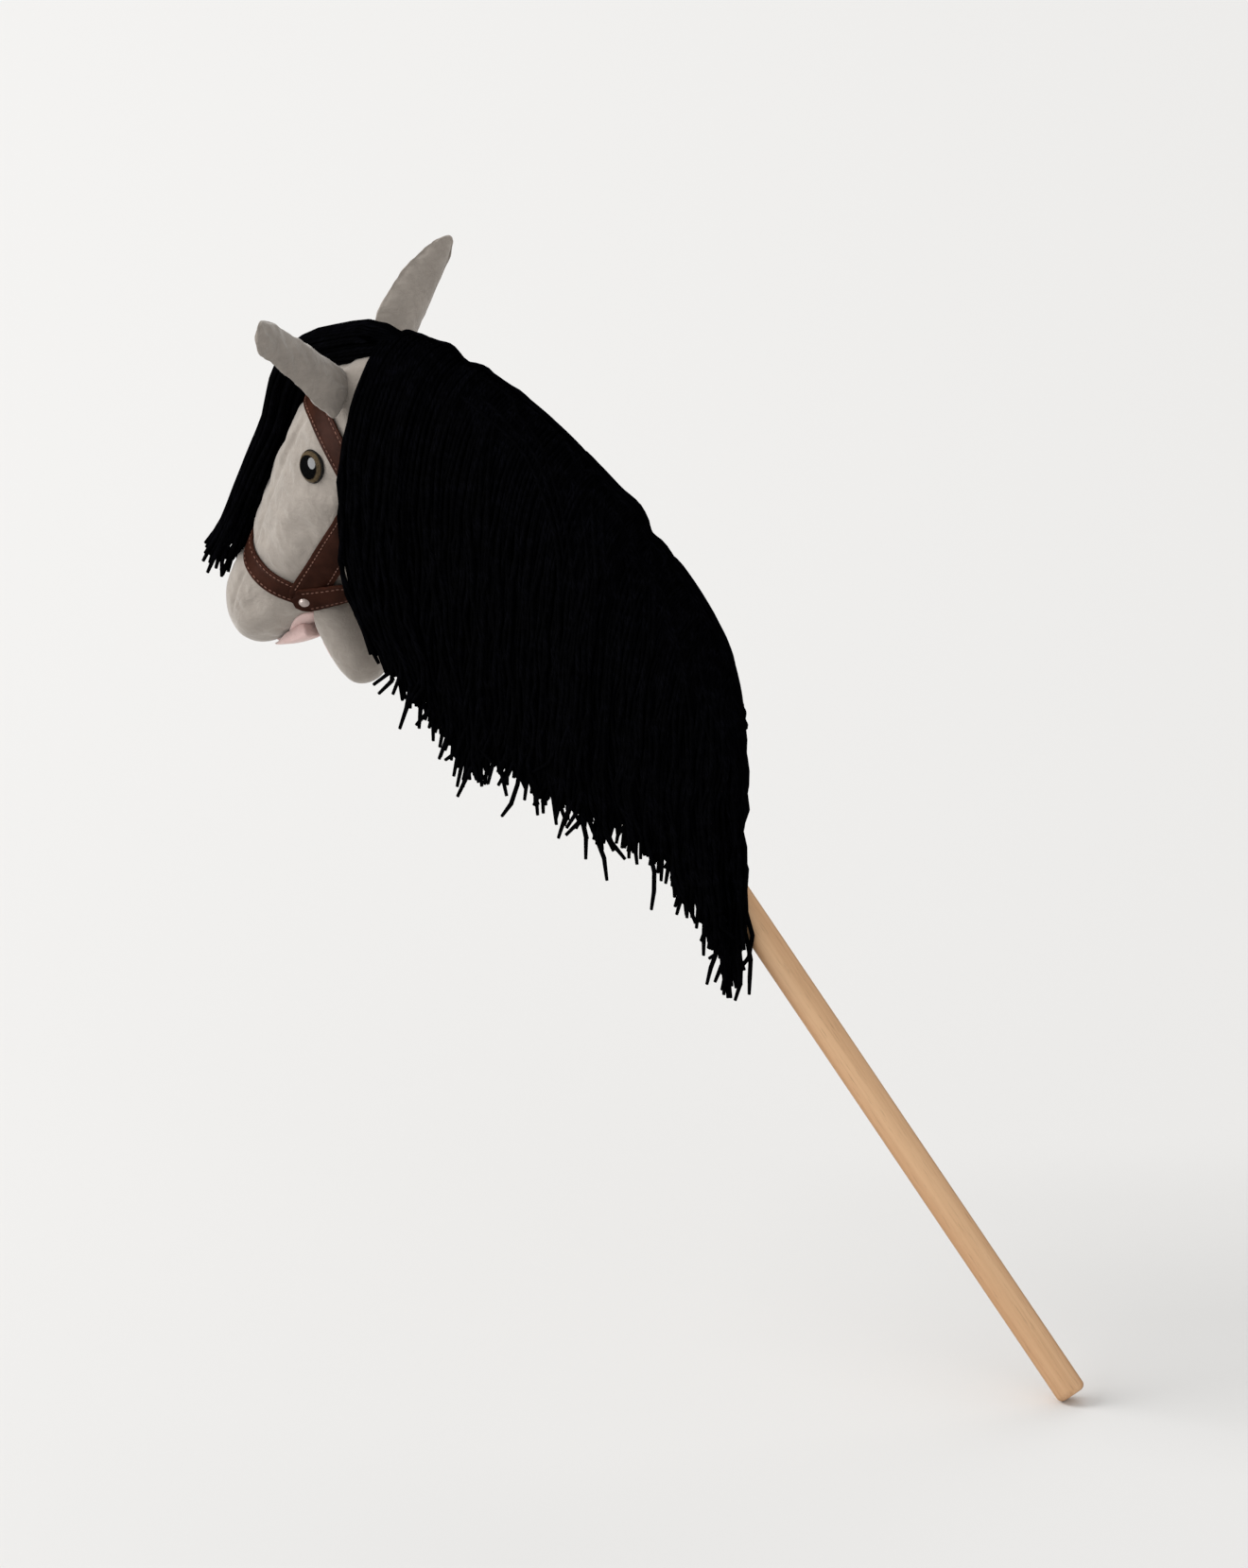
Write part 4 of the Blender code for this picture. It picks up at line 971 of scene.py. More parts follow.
def skin_form(station, angle):
    """The smooth skin with its closed ends: the hem turns in at the frill, and the nose is rounded."""
    if station < 0:
        edge = skin_point(0, angle)
        middle = toy(0, 0, TIE_HEIGHT - FRILL_LENGTH)
        return middle.lerp(edge, 1 + station) - UP_STICK * station * 0.010
    if station > NOSE_END:
        past = min(1.0, (station - NOSE_END) / END_CAP)
        edge = skin_point(NOSE_END, angle)
        middle = (OUTER_LINE[-1] + INNER_LINE[-1]) / 2
        forward = (middle - (OUTER_LINE[-2] + INNER_LINE[-2]) / 2).normalized()
        round_off = math.pi / 2 * past
        return middle + (edge - middle) * math.cos(round_off) + forward * NOSE_ROUND * math.sin(round_off)
    return skin_point(station, angle)


def strap_tree():
    """The halter's solids, joined, to press the plush in under them."""
    points, faces = [], []
    for node in STRAPS:
        mesh = frame["nodes"][node].data
        start = len(points)
        points += [v.co.copy() for v in mesh.vertices]
        faces += [[start + i for i in polygon.vertices] for polygon in mesh.polygons]
    return BVHTree.FromPolygons(points, faces)


def head_holds(points, where):
    """For each point of the head: how hard a strap or the lining presses it, how firmly it is sewn or held,
    and how deep the dent round the eye is there."""
    straps = strap_tree()
    eyes = [SKIN.nearest(spot)[0] for spot in (EYE_PLACE, mirrored(EYE_PLACE))]
    holds = []
    for point, (station, angle, on_line) in zip(points, where):
        away = straps.find_nearest(point)[3]
        pressed = 1 - ease((away - 0.002) / 0.006)
        lip = lip_angle(station)
        if lip:
            pressed = max(pressed, 0.8 * (1 - ease((math.pi - abs(angle) - lip) / 0.10)))
        seam = 0.0
        if on_line:
            seam = ease((station - SEAM_STATIONS[0]) / 0.4) * ease((SEAM_STATIONS[1] - station) / 0.5)
        if abs(angle) < 0.02 and 2 < station < SEAM_STATIONS[0]:
            seam = 1.0
        if abs(angle) > math.pi - 0.02 and station > 2:
            seam = 0.8
        eye = min((point - spot).length for spot in eyes)
        dent = EYE_DENT * (1 - ease((eye - 0.011) / 0.013))
        held = eye < 0.014 or station < 2.2 or station > NOSE_END
        holds.append((pressed, 1.0 if held else max(seam, pressed), dent))
    return holds


def head_relief(point, station, angle, pressed, sewn, dent):
    """How far the plush stands off at a point: lumps, seams, dents, the filled muzzle, the face's crown and
    the folds that the tie gathers."""
    free = 1 - pressed
    lumps = 0.0009 * noise.noise(point * 26) + 0.0004 * noise.noise(point * 75)
    offset = free * (lumps - 0.0006) - 0.0009 * pressed - dent
    if sewn > 0.5 and pressed < 0.5 and dent < 0.0005 and 2.2 < station < NOSE_END:
        offset -= sizes().seam_depth * sewn
    crown = max(0.0, 1 - (angle / seam_angle(station)) ** 2)
    front = max(0.0, math.cos(angle))
    sides = ease((2.4 - abs(angle)) / 0.9) * ease((station - 17.6) / 2.8)
    front += (1 - front) * max(sides, ease((station - 19.3) / 1.7))
    offset += NOSE_FILL * ease((station - 16.8) / 1.4) * front * free
    offset += PANEL_CROWN * crown * ease((station - 12.4) / 1.2) * ease((18.6 - station) / 1.5) * free
    fold = math.sin(FOLDS * angle + 2.2 * noise.noise(point * 40))
    if station < 1:
        offset += FRILL_FOLD * (1 - max(station, 0)) * fold
    elif station > 2:
        offset += NECK_FOLD * math.exp(-(station - 2) / 1.1) * ease((station - 2) / 0.4) * fold
    return offset


def build_head():
    """Head and neck in one stuffed skin."""
    where = []

    def shape(share, turn):
        station, angle = skin_place(share, turn)
        where.append((station, angle, abs(abs(turn) - SEAM_TURN) < 0.01))
        return skin_form(station, angle)

    head = wrapped_sphere("plush_head_and_neck", *HEAD_MESH, shape)
    mesh = head.data
    rest = [v.co.copy() for v in mesh.vertices]
    normals = [v.normal.copy() for v in mesh.vertices]
    holds = head_holds(rest, where)
    inflated(head, [sewn for _, sewn, _ in holds], STUFFING, sizes().swell)
    for vertex, point, normal, (station, angle, _), hold in zip(mesh.vertices, rest, normals, where, holds):
        relief = head_relief(point, station, angle, *hold)
        vertex.co = point + (vertex.co - point) * (1 - hold[0]) + normal * relief
    nose = head.vertex_groups.new(name="nose")
    for index, (station, _, _) in enumerate(where):
        nose.add([index], ease((station - 18.6) / 1.4), "REPLACE")
    modified(head, "SMOOTH", factor=0.5, iterations=NOSE_SMOOTHING, vertex_group="nose")
    apply_all(head)
    head.vertex_groups.clear()
    subdivided(head)
    smooth_shade(head, 80)
    finish_piece(head, material_of("plush"), "root", "plush", "head", "neck")


def stuffed_copy(name, node, voxel, most, material, let_out=0.0):
    """A stuffed piece with the form of its solid: merged, remeshed, smoothed and swollen."""
    mesh = frame["nodes"][node].data.copy()
    mesh.name = name
    piece = linked(name, mesh)
    edit_whole(piece, MERGE)
    modified(piece, "REMESH", mode="VOXEL", voxel_size=voxel)
    modified(piece, "SMOOTH", factor=0.5, iterations=6)
    apply_all(piece)
    inflated(piece, [0.0] * len(piece.data.vertices), STUFFING, most)
    for vertex in piece.data.vertices:
        vertex.co += vertex.normal * (let_out + 0.0005 * noise.noise(vertex.co * 60))
    subdivided(piece)
    smooth_shade(piece, 80)
    finish_piece(piece, material_of(material), None, material, node)
    return piece


def lip_angle(station):
    """How far up the muzzle's side the lining reaches, or 0 where there is none."""
    first, last = LIP_STATIONS
    if not first < station < last:
        return 0.0
    return smooth_between(LIP_ANGLES, (len(LIP_ANGLES) - 1) * (station - first) / (last - first))


def faced_out(piece):
    """Turns a sheet's faces away from the skin."""
    middle = piece.data.polygons[len(piece.data.polygons) // 2]
    if middle.normal.dot(SKIN.nearest(middle.center)[1]) < 0:
        piece.data.flip_normals()


def build_lip():
    """The lining's edge where it is sewn to the muzzle, over its underside and up both sides."""
    lip = added("pink_lip_lining", "grid", x_subdivisions=44, y_subdivisions=40, size=2)
    first, last = LIP_STATIONS
    for vertex in lip.data.vertices:
        along_lip, across = (vertex.co.x + 1) / 2, vertex.co.y
        station = first + 0.01 + (last - first - 0.02) * along_lip
        place = skin_point(station, math.pi + across * lip_angle(station))
        _, out = SKIN.nearest(place)
        soft = 0.0010 * (1 - across**4) * ease((1 - along_lip) / 0.2) + 0.0005 * noise.noise(place * 70)
        vertex.co = place + out * (LIP_LIFT + soft)
    faced_out(lip)
    modified(lip, "SOLIDIFY", thickness=LIP_LIFT + 0.001, offset=-1)
    subdivided(lip)
    smooth_shade(lip, 60)
    finish_piece(lip, material_of("lining"), "root", "lining")


def build_mouth():
    """The lower jaw, whose lower part is let down a little below its hinge, and the lining above and below the
    mouth's opening.
    """
    jaw = stuffed_copy("plush_lower_jaw", "lower_jaw", 0.003, 0.001, "plush", JAW_LET_OUT)
    pivot = HINGES["lower_jaw_flex"]
    for vertex in jaw.data.vertices:
        vertex.co += DOWN * JAW_REACH * ease((pivot.z - vertex.co.z - 0.010) / 0.040)
    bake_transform(jaw)
    tongue = stuffed_copy("pink_lower_lining", "mouth_lining_lower", 0.0011, 0.0005, "lining")
    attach(tongue, "lower_jaw_body")
    palate = stuffed_copy("pink_upper_lining", "mouth_lining_upper", 0.0020, 0.0008, "lining")
    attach(palate, "root")
    build_lip()


def ear_shape(base, middle, tip, flat_axis, facing, curl, widths, held):
    """An ear's form along a curve from its foot to its tip. It notes in held what is sewn at each place."""

    def shape(share, turn):
        t = (1 - math.cos(math.pi * share)) / 2
        place = base * (1 - t) ** 2 + middle * (2 * t * (1 - t)) + tip * t**2
        place += DOWN * curl * max(0.0, (t - 0.7) / 0.3) ** 2
        run = ((middle - base) * (1 - t) + (tip - middle) * t).normalized()
        flat = (flat_axis - run * flat_axis.dot(run)).normalized()
        thick = run.cross(flat).normalized() * facing
        row = (len(EAR_DEPTHS) - 1) * t
        round_off = math.sqrt(max(0.0, 1 - (1 - min(1.0, (1 - t) / 0.11)) ** 2))
        foot = math.sqrt(max(0.0, 1 - (1 - min(1.0, t / 0.02)) ** 2))
        width = EAR_HALF_WIDTH * smooth_between(widths, row) * round_off * foot
        depth = EAR_HALF_THICKNESS * smooth_between(EAR_DEPTHS, row) * round_off**0.7 * foot
        across = math.cos(turn)
        bulge = math.sin(turn)
        cup = 0.0030 * ease(t / 0.25) * ease((1 - t) / 0.2) * (across**2 - 0.4)
        crease = 0.0016 * math.exp(-((across + 0.25 - 0.5 * t) / 0.14) ** 2) * ease((0.62 - t) / 0.3)
        held.append(1.0 if abs(bulge) < 0.12 or t < 0.04 else 0.0)
        inward = place - run * 0.004 * (1 - ease(t / 0.1))
        return inward + flat * width * across + thick * (depth * bulge + cup - crease * max(0.0, bulge))

    return shape


def build_ears():
    """Two flat stuffed ears, each standing on the head along its seam and bowed towards its tip."""
    for side, (reach, bow, curl, widths) in EARS.items():
        left = side == "left"
        seat, normal = SKIN.nearest(mirrored(EAR_BASE) if left else EAR_BASE)
        flat_axis = EAR_SEAM if left else mirrored(EAR_SEAM)
        outside = -SIDE if left else SIDE
        base = seat + normal * EAR_STAND
        tip = base + reach
        middle = base.lerp(tip, 0.5) + bow
        facing = 1 if (tip - base).cross(flat_axis).dot(outside) > 0 else -1
        held = []
        shape = ear_shape(base, middle, tip, flat_axis, facing, curl, widths, held)
        ear = wrapped_sphere("plush_ear_" + side, *EAR_MESH, shape)
        inflated(ear, held, EAR_STUFFING, EAR_SWELL)
        for vertex in ear.data.vertices:
            lumps = 0.0013 * noise.noise(vertex.co * 48) + 0.0006 * noise.noise(vertex.co * 120)
            vertex.co += vertex.normal * (lumps - 0.0001)
        subdivided(ear)
        smooth_shade(ear, 80)
        finish_piece(ear, material_of("ear_plush_" + side), None, "plush", "ear_" + side)
        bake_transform(ear)


# Eyes and rivets

def build_eyes():
    """Two domed eyes, each with a thin rim, that sit a little in the plush."""
    for side, spot in (("left", EYE_PLACE), ("right", mirrored(EYE_PLACE))):
        place, axis = SKIN.nearest(spot)
        axis = (axis - BEHIND * EYE_TURN).normalized()
        profile = []
        for k, angle in enumerate(quarter(12)):
            radius = EYE_RADIUS * math.sin(angle)
            height = EYE_HEIGHT * math.cos(angle) ** 1.15
            if k == 11:
                height += 0.0004
            profile.append((radius, height - EYE_SEAT))
        profile += [(EYE_RADIUS + EYE_RIM, -EYE_SEAT - 0.0004), (EYE_RADIUS + 0.0004, -EYE_SEAT - 0.0010),
                    (0.6 * EYE_RADIUS, -EYE_SEAT - 0.0012), (0, -EYE_SEAT - 0.0012)]
        eye = spun("glossy_eye_" + side, profile, 64, place, axis)
        shares = eye.data.attributes.new("from_axis", "FLOAT", "POINT")
        for index, vertex in enumerate(eye.data.vertices):
            off = vertex.co - place
            shares.data[index].value = (off - axis * off.dot(axis)).length / EYE_RADIUS
        smooth_shade(eye, 35)
        finish_piece(eye, eye_material("eye_gloss_" + side), "root", "eye", "eye_" + side)


def build_rivets():
    """Two rivets with domed caps that go through the three straps that meet there."""
    for side, spot in (("left", RIVET_PLACE), ("right", mirrored(RIVET_PLACE))):
        place, axis = SKIN.nearest(spot)
        base = STRAP_CLEARANCE + 3 * STRAP_LAYER
        shank = 0.45 * RIVET_RADIUS
        profile = [(0.88 * RIVET_RADIUS * math.sin(angle), base + 0.0005 + RIVET_HEIGHT * math.cos(angle))
                   for angle in quarter(8)]
        profile += [(0.93 * RIVET_RADIUS, base + 0.0003), (RIVET_RADIUS, base + 0.0004),
                    (RIVET_RADIUS, base + 0.0001), (shank, base), (shank, 0.0003), (0, 0.0003)]
        rivet = spun("domed_rivet_" + side, profile, 40, place, axis)
        smooth_shade(rivet, 35)
        finish_piece(rivet, material_of("rivet"), "root", "rivet", "rivet_" + side)


# Halter

def layered(start_layer, end_layer, start_run, end_run):
    """A strap's height off the skin: on other straps at its ends, and down on the plush between them."""

    def lift_at(distance, length):
        near_start = start_layer * STRAP_LAYER * (1 - ease((distance - start_run) / STRAP_FALL))
        near_end = end_layer * STRAP_LAYER * (1 - ease((length - distance - end_run) / STRAP_FALL))
        return STRAP_CLEARANCE + max(near_start, near_end)

    return lift_at


def past(end, before, tail=STRAP_TAIL):
    """The point that lies a tail's length past a strap's last joint."""
    return end + (end - before).normalized() * tail


def over_middle(half, middle):
    """A strap's line from its left end over the toy's middle to the same place on the right."""
    return half + [middle] + [mirrored(point) for point in reversed(half)]


def strap_spot(line, reach, distance, half, across):
    """The skin's place and outward direction under a strap, at a distance along it and a share of its half
    width across it."""
    place, run = point_at(line, reach, distance)
    foot, normal = SKIN.nearest(place)
    return SKIN.nearest(foot + normal.cross(run).normalized() * half * across)


def build_strap(name, node, guide, width, lift_at, round_ends, stitches):
    """A strap made from a grid laid on the skin, given its thickness, soft edges and furrows. Its stitches'
    places are added to the list."""
    line = fine_line([SKIN.nearest(p)[0] for p in guide])
    reach = along(line)
    length = reach[-1]
    half = width / 2
    strap = added(name, "grid", x_subdivisions=round(length / STRAP_MESH_STEP), y_subdivisions=14, size=2)
    for vertex in strap.data.vertices:
        distance = length * (vertex.co.x + 1) / 2
        across = vertex.co.y
        inward = min(distance, length - distance)
        wide = half
        if round_ends and inward < half:
            wide *= math.sqrt(max(0.03, 1 - (1 - inward / half) ** 2))
        spot, out = strap_spot(line, reach, distance, wide, across)
        furrow = 0.00040 * math.exp(-((abs(across) - STRAP_FURROW) / 0.07) ** 2)
        crown = 0.00035 * (1 - across**2) - furrow
        vertex.co = spot + out * (lift_at(distance, length) + STRAP_THICKNESS + crown)
    faced_out(strap)
    modified(strap, "SOLIDIFY", thickness=STRAP_THICKNESS, offset=-1)
    modified(strap, "BEVEL", width=0.0005, segments=3, limit_method="ANGLE", angle_limit=math.radians(50))
    apply_all(strap)
    smooth_shade(strap, 60)
    finish_piece(strap, material_of("leather"), "root", "strap", node)
    count = int(length / sizes().stitch_pitch)
    for row in (-STRAP_FURROW, STRAP_FURROW):
        for k in range(1, count):
            distance = length * k / count
            if round_ends and min(distance, length - distance) < half:
                continue
            spot, out = strap_spot(line, reach, distance, half, row)
            next_spot, _ = strap_spot(line, reach, min(length, distance + 0.001), half, row)
            place = spot + out * (lift_at(distance, length) + STRAP_THICKNESS - 0.00005)
            stitches.append((place, (next_spot - spot).normalized(), out))


def build_stitches(stitches):
    """Every stitch of the halter: one small bead of thread, copied along the furrows."""
    bead = added("halter_stitching", "uv_sphere", segments=6, ring_count=5, radius=1)
    in_order(bead.data)
    single = bead.data.copy()
    joined = bmesh.new()
    half_length = 0.36 * sizes().stitch_pitch
    for place, run, out in stitches:
        copy = single.copy()
        aside = out.cross(run).normalized()
        turn = Matrix((out, aside, run)).transposed().to_4x4()
        shape = Matrix.Diagonal((*STITCH, half_length, 1))
        copy.transform(Matrix.Translation(place) @ turn @ shape)
        joined.from_mesh(copy)
        bpy.data.meshes.remove(copy)
    joined.to_mesh(bead.data)
    joined.free()
    bpy.data.meshes.remove(single)
    smooth_shade(bead, 80)
    finish_piece(bead, material_of("thread"), "root", "strap")


def build_halter():
    """The six straps. Straps that meet at a rivet or a ring lie on each other there."""
    stitches = []
    rivet, ring = RIVET_PLACE, RING_PLACE

    nose_side = toy(-0.1555, -0.033, 0.7955)
    over_face = over_middle([past(rivet, nose_side), rivet, nose_side], smooth_between(OUTER_LINE, 16.93))
    build_strap("stitched_noseband", "noseband", over_face, NOSEBAND_WIDTH,
                layered(0, 0, 0, 0), True, stitches)

    jaw_side = toy(-0.1125, -0.040, 0.7375)
    under_jaw = over_middle([past(rivet, jaw_side), rivet, jaw_side], toy(-0.101, 0, 0.738))
    build_strap("stitched_chin_strap", "chin_strap", under_jaw, CHIN_STRAP_WIDTH,
                layered(2, 2, 0.042, 0.042), True, stitches)

    cheek = toy(-0.0735, -0.046, 0.790)
    over_cheek = [past(rivet, cheek), rivet, cheek, ring, past(ring, cheek, 0.010)]
    for side, turn in (("left", Vector), ("right", mirrored)):
        guide = [turn(point) for point in over_cheek]
        build_strap("stitched_cheek_strap_" + side, "cheek_strap_" + side, guide, CHEEK_STRAP_WIDTH,
                    layered(1, 2, 0.022, 0.030), True, stitches)

    brow_side = [ring, toy(-0.038, -0.047, 0.837), toy(-0.040, -0.038, 0.874)]
    over_brow = over_middle(brow_side, smooth_between(OUTER_LINE, 12.85))
    build_strap("stitched_brow_strap", "brow_strap", over_brow, BROW_STRAP_WIDTH,
                layered(0, 0, 0, 0), False, stitches)

    crown_side = [ring, toy(-0.012, -0.048, 0.812), toy(0.020, -0.042, 0.833)]
    over_crown = over_middle(crown_side, smooth_between(OUTER_LINE, 9.95))
    build_strap("stitched_crown_strap", "crown_strap", over_crown, CROWN_STRAP_WIDTH,
                layered(1, 1, 0.020, 0.020), False, stitches)
    build_stitches(stitches)


# Yarn

STRAND_SIDES = 5
STRAND_POINTS = 22
BINDING_ROWS = 9
BINDING_HEIGHT = 0.0058
CREST_RUN = (smooth_between(OUTER_LINE, MANE_REAR) - smooth_between(OUTER_LINE, MANE_FRONT)).length
LOCKS = 26

# How far the locks' lengths differ, the share of strands that hang lower than the others and how much lower,
# the share that curl more, and the length of a curled tip
LOCK_LENGTHS = (-0.015, 0.012)
LOW_STRANDS = 0.11
LOWER_BY = (0.003, 0.015)
CURLED_STRANDS = 0.05
CURL_LENGTHS = (0.018, 0.040)

# Strands that run along the crest before they fall: where they start, where the last one leaves, and how many
RIDGE_LOCKS = [(0.22, 0.36, 8), (0.26, 0.66, 26), (0.52, 0.80, 12), (0.62, 0.985, 30), (0.84, 0.985, 14)]

# Strands that hang below the others: their shares of the crest and how far they hang
STRAYS = [(0.655, 0.236), (0.645, 0.224), (0.49, 0.252), (0.33, 0.270), (0.12, 0.252), (0.80, 0.205)]

# The forelock's start under the mane: stations, lifts and shares of its full width
FORELOCK_ROOT = [(10.6, 0.0040, 0.45), (10.85, 0.0070, 0.6), (11.1, 0.0095, 0.8), (11.3, 0.0112, 0.95)]

# The forelock's strands across its width: shares of its half width, and how many lie there
FORELOCK_RINGS = [(0.0, 1), (0.27, 6), (0.52, 12), (0.76, 18), (1.0, 26)]


def strand(work, uv, points, radius):
    """Adds one strand of yarn to a mesh: a closed tube whose UV is (round, length in metres)."""
    reach = along(points)
    last = len(points) - 1
    rings = []
    for k, place in enumerate(points):
        run = (points[min(k + 1, last)] - points[max(k - 1, 0)]).normalized()
        aside = run.cross(Vector((1, 0.13, 0))).normalized()
        other = run.cross(aside)
        size = radius * (0.72 if k in (0, last) else 1.0)
        ring = []
        for j in range(STRAND_SIDES):
            angle = 2 * math.pi * j / STRAND_SIDES
            spot = place + aside * size * math.cos(angle) + other * size * math.sin(angle)
            ring.append(work.verts.new(spot))
        rings.append(ring)
    for k in range(last):
        for j in range(STRAND_SIDES):
            nxt = (j + 1) % STRAND_SIDES
            face = work.faces.new([rings[k][j], rings[k][nxt], rings[k + 1][nxt], rings[k + 1][j]])
            face.smooth = True
            for loop, (around, at) in zip(face.loops, ((j, k), (j + 1, k), (j + 1, k + 1), (j, k + 1))):
                loop[uv].uv = (around / STRAND_SIDES, reach[at])
    for ring, at in ((rings[0][::-1], 0), (rings[-1], last)):
        face = work.faces.new(ring)
        for loop in face.loops:
            loop[uv].uv = (0.5, reach[at])


def yarn_piece(name, strands, radius):
    """One piece that holds many strands, each a line of points."""
    mesh = bpy.data.meshes.new(name)
    work = bmesh.new()
    uv = work.loops.layers.uv.new("UVMap")
    for points in strands:
        strand(work, uv, points, radius)
    bmesh.ops.recalc_face_normals(work, faces=work.faces)
    work.to_mesh(mesh)
    work.free()
    return linked(name, mesh)


def mane_drop(share):
    """How far the yarn hangs: the hanks' drops, then the rear bunch's."""
    if share < REAR_BUNCH:
        return smooth_between(MANE_DROPS, (len(MANE_DROPS) - 1) * share / REAR_BUNCH)
    return smooth_between(REAR_DROPS, (len(REAR_DROPS) - 1) * (share - REAR_BUNCH) / (1 - REAR_BUNCH))


def mane_lift(share):
    """How far the yarn's lowest layer lies off the skin at a share of the crest."""
    bumps = sum(height * math.exp(-((share - spot) / width) ** 2) for spot, height, width in CREST_BUMPS)
    return MANE_LIFT + BUCKLE_LIFT * (1 - ease((share - 0.10) / 0.14)) + bumps


class Drape:
    """The surface that the mane lies on, over the crest and down the horse's left side. A place on it is a
    share along the crest and a fall below the crest; a fall under 0 is on the crest's far side."""

    COLUMNS = 110
    ROWS = 60
    LONGEST = 0.30

    def __init__(self):
        self.falls = [-MANE_FAR_SIDE, -0.5 * MANE_FAR_SIDE, 0.0]
        self.falls += [self.LONGEST * (k / self.ROWS) ** 1.6 for k in range(1, self.ROWS + 1)]
        self.columns = [self.column(k / self.COLUMNS) for k in range(self.COLUMNS + 1)]

    def column(self, share):
        """One upright line of the drape: it hangs free from the neck's or the cheek's widest place on."""
        station = MANE_FRONT + (MANE_REAR - MANE_FRONT) * share
        crest = smooth_between(OUTER_LINE, station)
        out = crest_normal(station)
        wrap = ease(((share - REAR_BUNCH) / (1 - REAR_BUNCH) - 0.35) / 0.6)
        line = []
        widest = hanging = last_on_skin = 0.0
        outward = out
        rearmost = crest.x
        for fall in self.falls:
            if fall < 0:
                place, normal = SKIN.nearest(crest - SIDE * fall + out * 0.2 * fall)
                line.append((place, normal.lerp(BEHIND, wrap).normalized()))
                continue
            if fall == 0:
                line.append((crest, out.lerp(BEHIND, wrap).normalized()))
                continue
            spot = crest + DOWN * fall
            behind, _ = SKIN.from_behind(spot + SIDE * BEHIND_NECK)
            if behind and behind.x > rearmost:
                rearmost = behind.x
            hit, normal = SKIN.from_left(spot)
            reach = -hit.y if hit else 0.0
            if reach >= widest - 0.0002:
                widest = max(reach, widest)
                outward = normal.lerp(-SIDE, 0.2).normalized()
                last_on_skin = fall
            else:
                hanging = min(1.0, hanging + 0.20)
                outward = outward.lerp(-SIDE, hanging).normalized()
            away = widest + MANE_LEAN_OUT * max(0.0, fall - last_on_skin - 0.02)
            round_neck = wrap * ease((fall + 0.008) / 0.035)
            place = Vector((spot.x, -away, spot.z)).lerp(Vector((rearmost, BEHIND_NECK, spot.z)), round_neck)
            corner = (BEHIND * 0.6 - SIDE * 0.8) * NECK_CORNER * 4 * round_neck * (1 - round_neck)
            fill = REAR_FILL * ease((fall + 0.004) / 0.010) * (1 - ease((fall - 0.02) / 0.07))
            fill -= REAR_TUCK * ease((fall - 0.08) / 0.06)
            corner += BEHIND * fill * wrap
            line.append((place + corner, outward.lerp(BEHIND, wrap).normalized()))
        return line

    def at(self, share, fall):
        across = min(max(share, 0.0), 1.0) * self.COLUMNS
        column = min(int(across), self.COLUMNS - 1)
        row = min(max(bisect.bisect_right(self.falls, fall) - 1, 0), len(self.falls) - 2)
        low, high = self.falls[row], self.falls[row + 1]
        down = min(max((fall - low) / (high - low), 0.0), 1.0)
        ends = []
        for line in (self.columns[column], self.columns[column + 1]):
            (start, first), (end, second) = line[row], line[row + 1]
            ends.append((start.lerp(end, down), first.lerp(second, down)))
        share_between = across - column
        place = ends[0][0].lerp(ends[1][0], share_between)
        return place, ends[0][1].lerp(ends[1][1], share_between).normalized()


def even_line(points, count, power=1.0):
    """A line's points again, count of them; a power over 1 puts them closer together at its start."""
    reach = along(points)
    return [point_at(points, reach, reach[-1] * (k / (count - 1)) ** power)[0] for k in range(count)]


def hooked(points, length, bend, axis):
    """A line whose last stretch curls by an angle about an axis, as cut yarn does."""
    reach = along(points)
    line = [p.copy() for p in points]
    for k in range(1, len(points)):
        past_start = (reach[k] - (reach[-1] - length)) / length
        if past_start > 0:
            step = points[k] - points[k - 1]
            line[k] = line[k - 1] + Matrix.Rotation(bend * min(1.0, past_start), 3, axis) @ step
    return line


def mane_bow(share, fall):
    """How far a strand leans along the crest: the front ones bow over the cheek and swing back below it, and
    the last ones draw together behind the neck."""
    forward = -0.0045 * ease(fall / 0.08) * (1 - ease(share / 0.16))
    back = 0.019 * ease((fall - 0.125) / 0.09) + 0.016 * ease((fall - 0.175) / 0.055)
    back *= 1 - ease((share - 0.02) / 0.30)
    gather = 0.030 * ease((share - 0.62) / 0.3) * (1 - share) * 2.2 * ease((fall - 0.05) / 0.14)
    return forward + back + gather


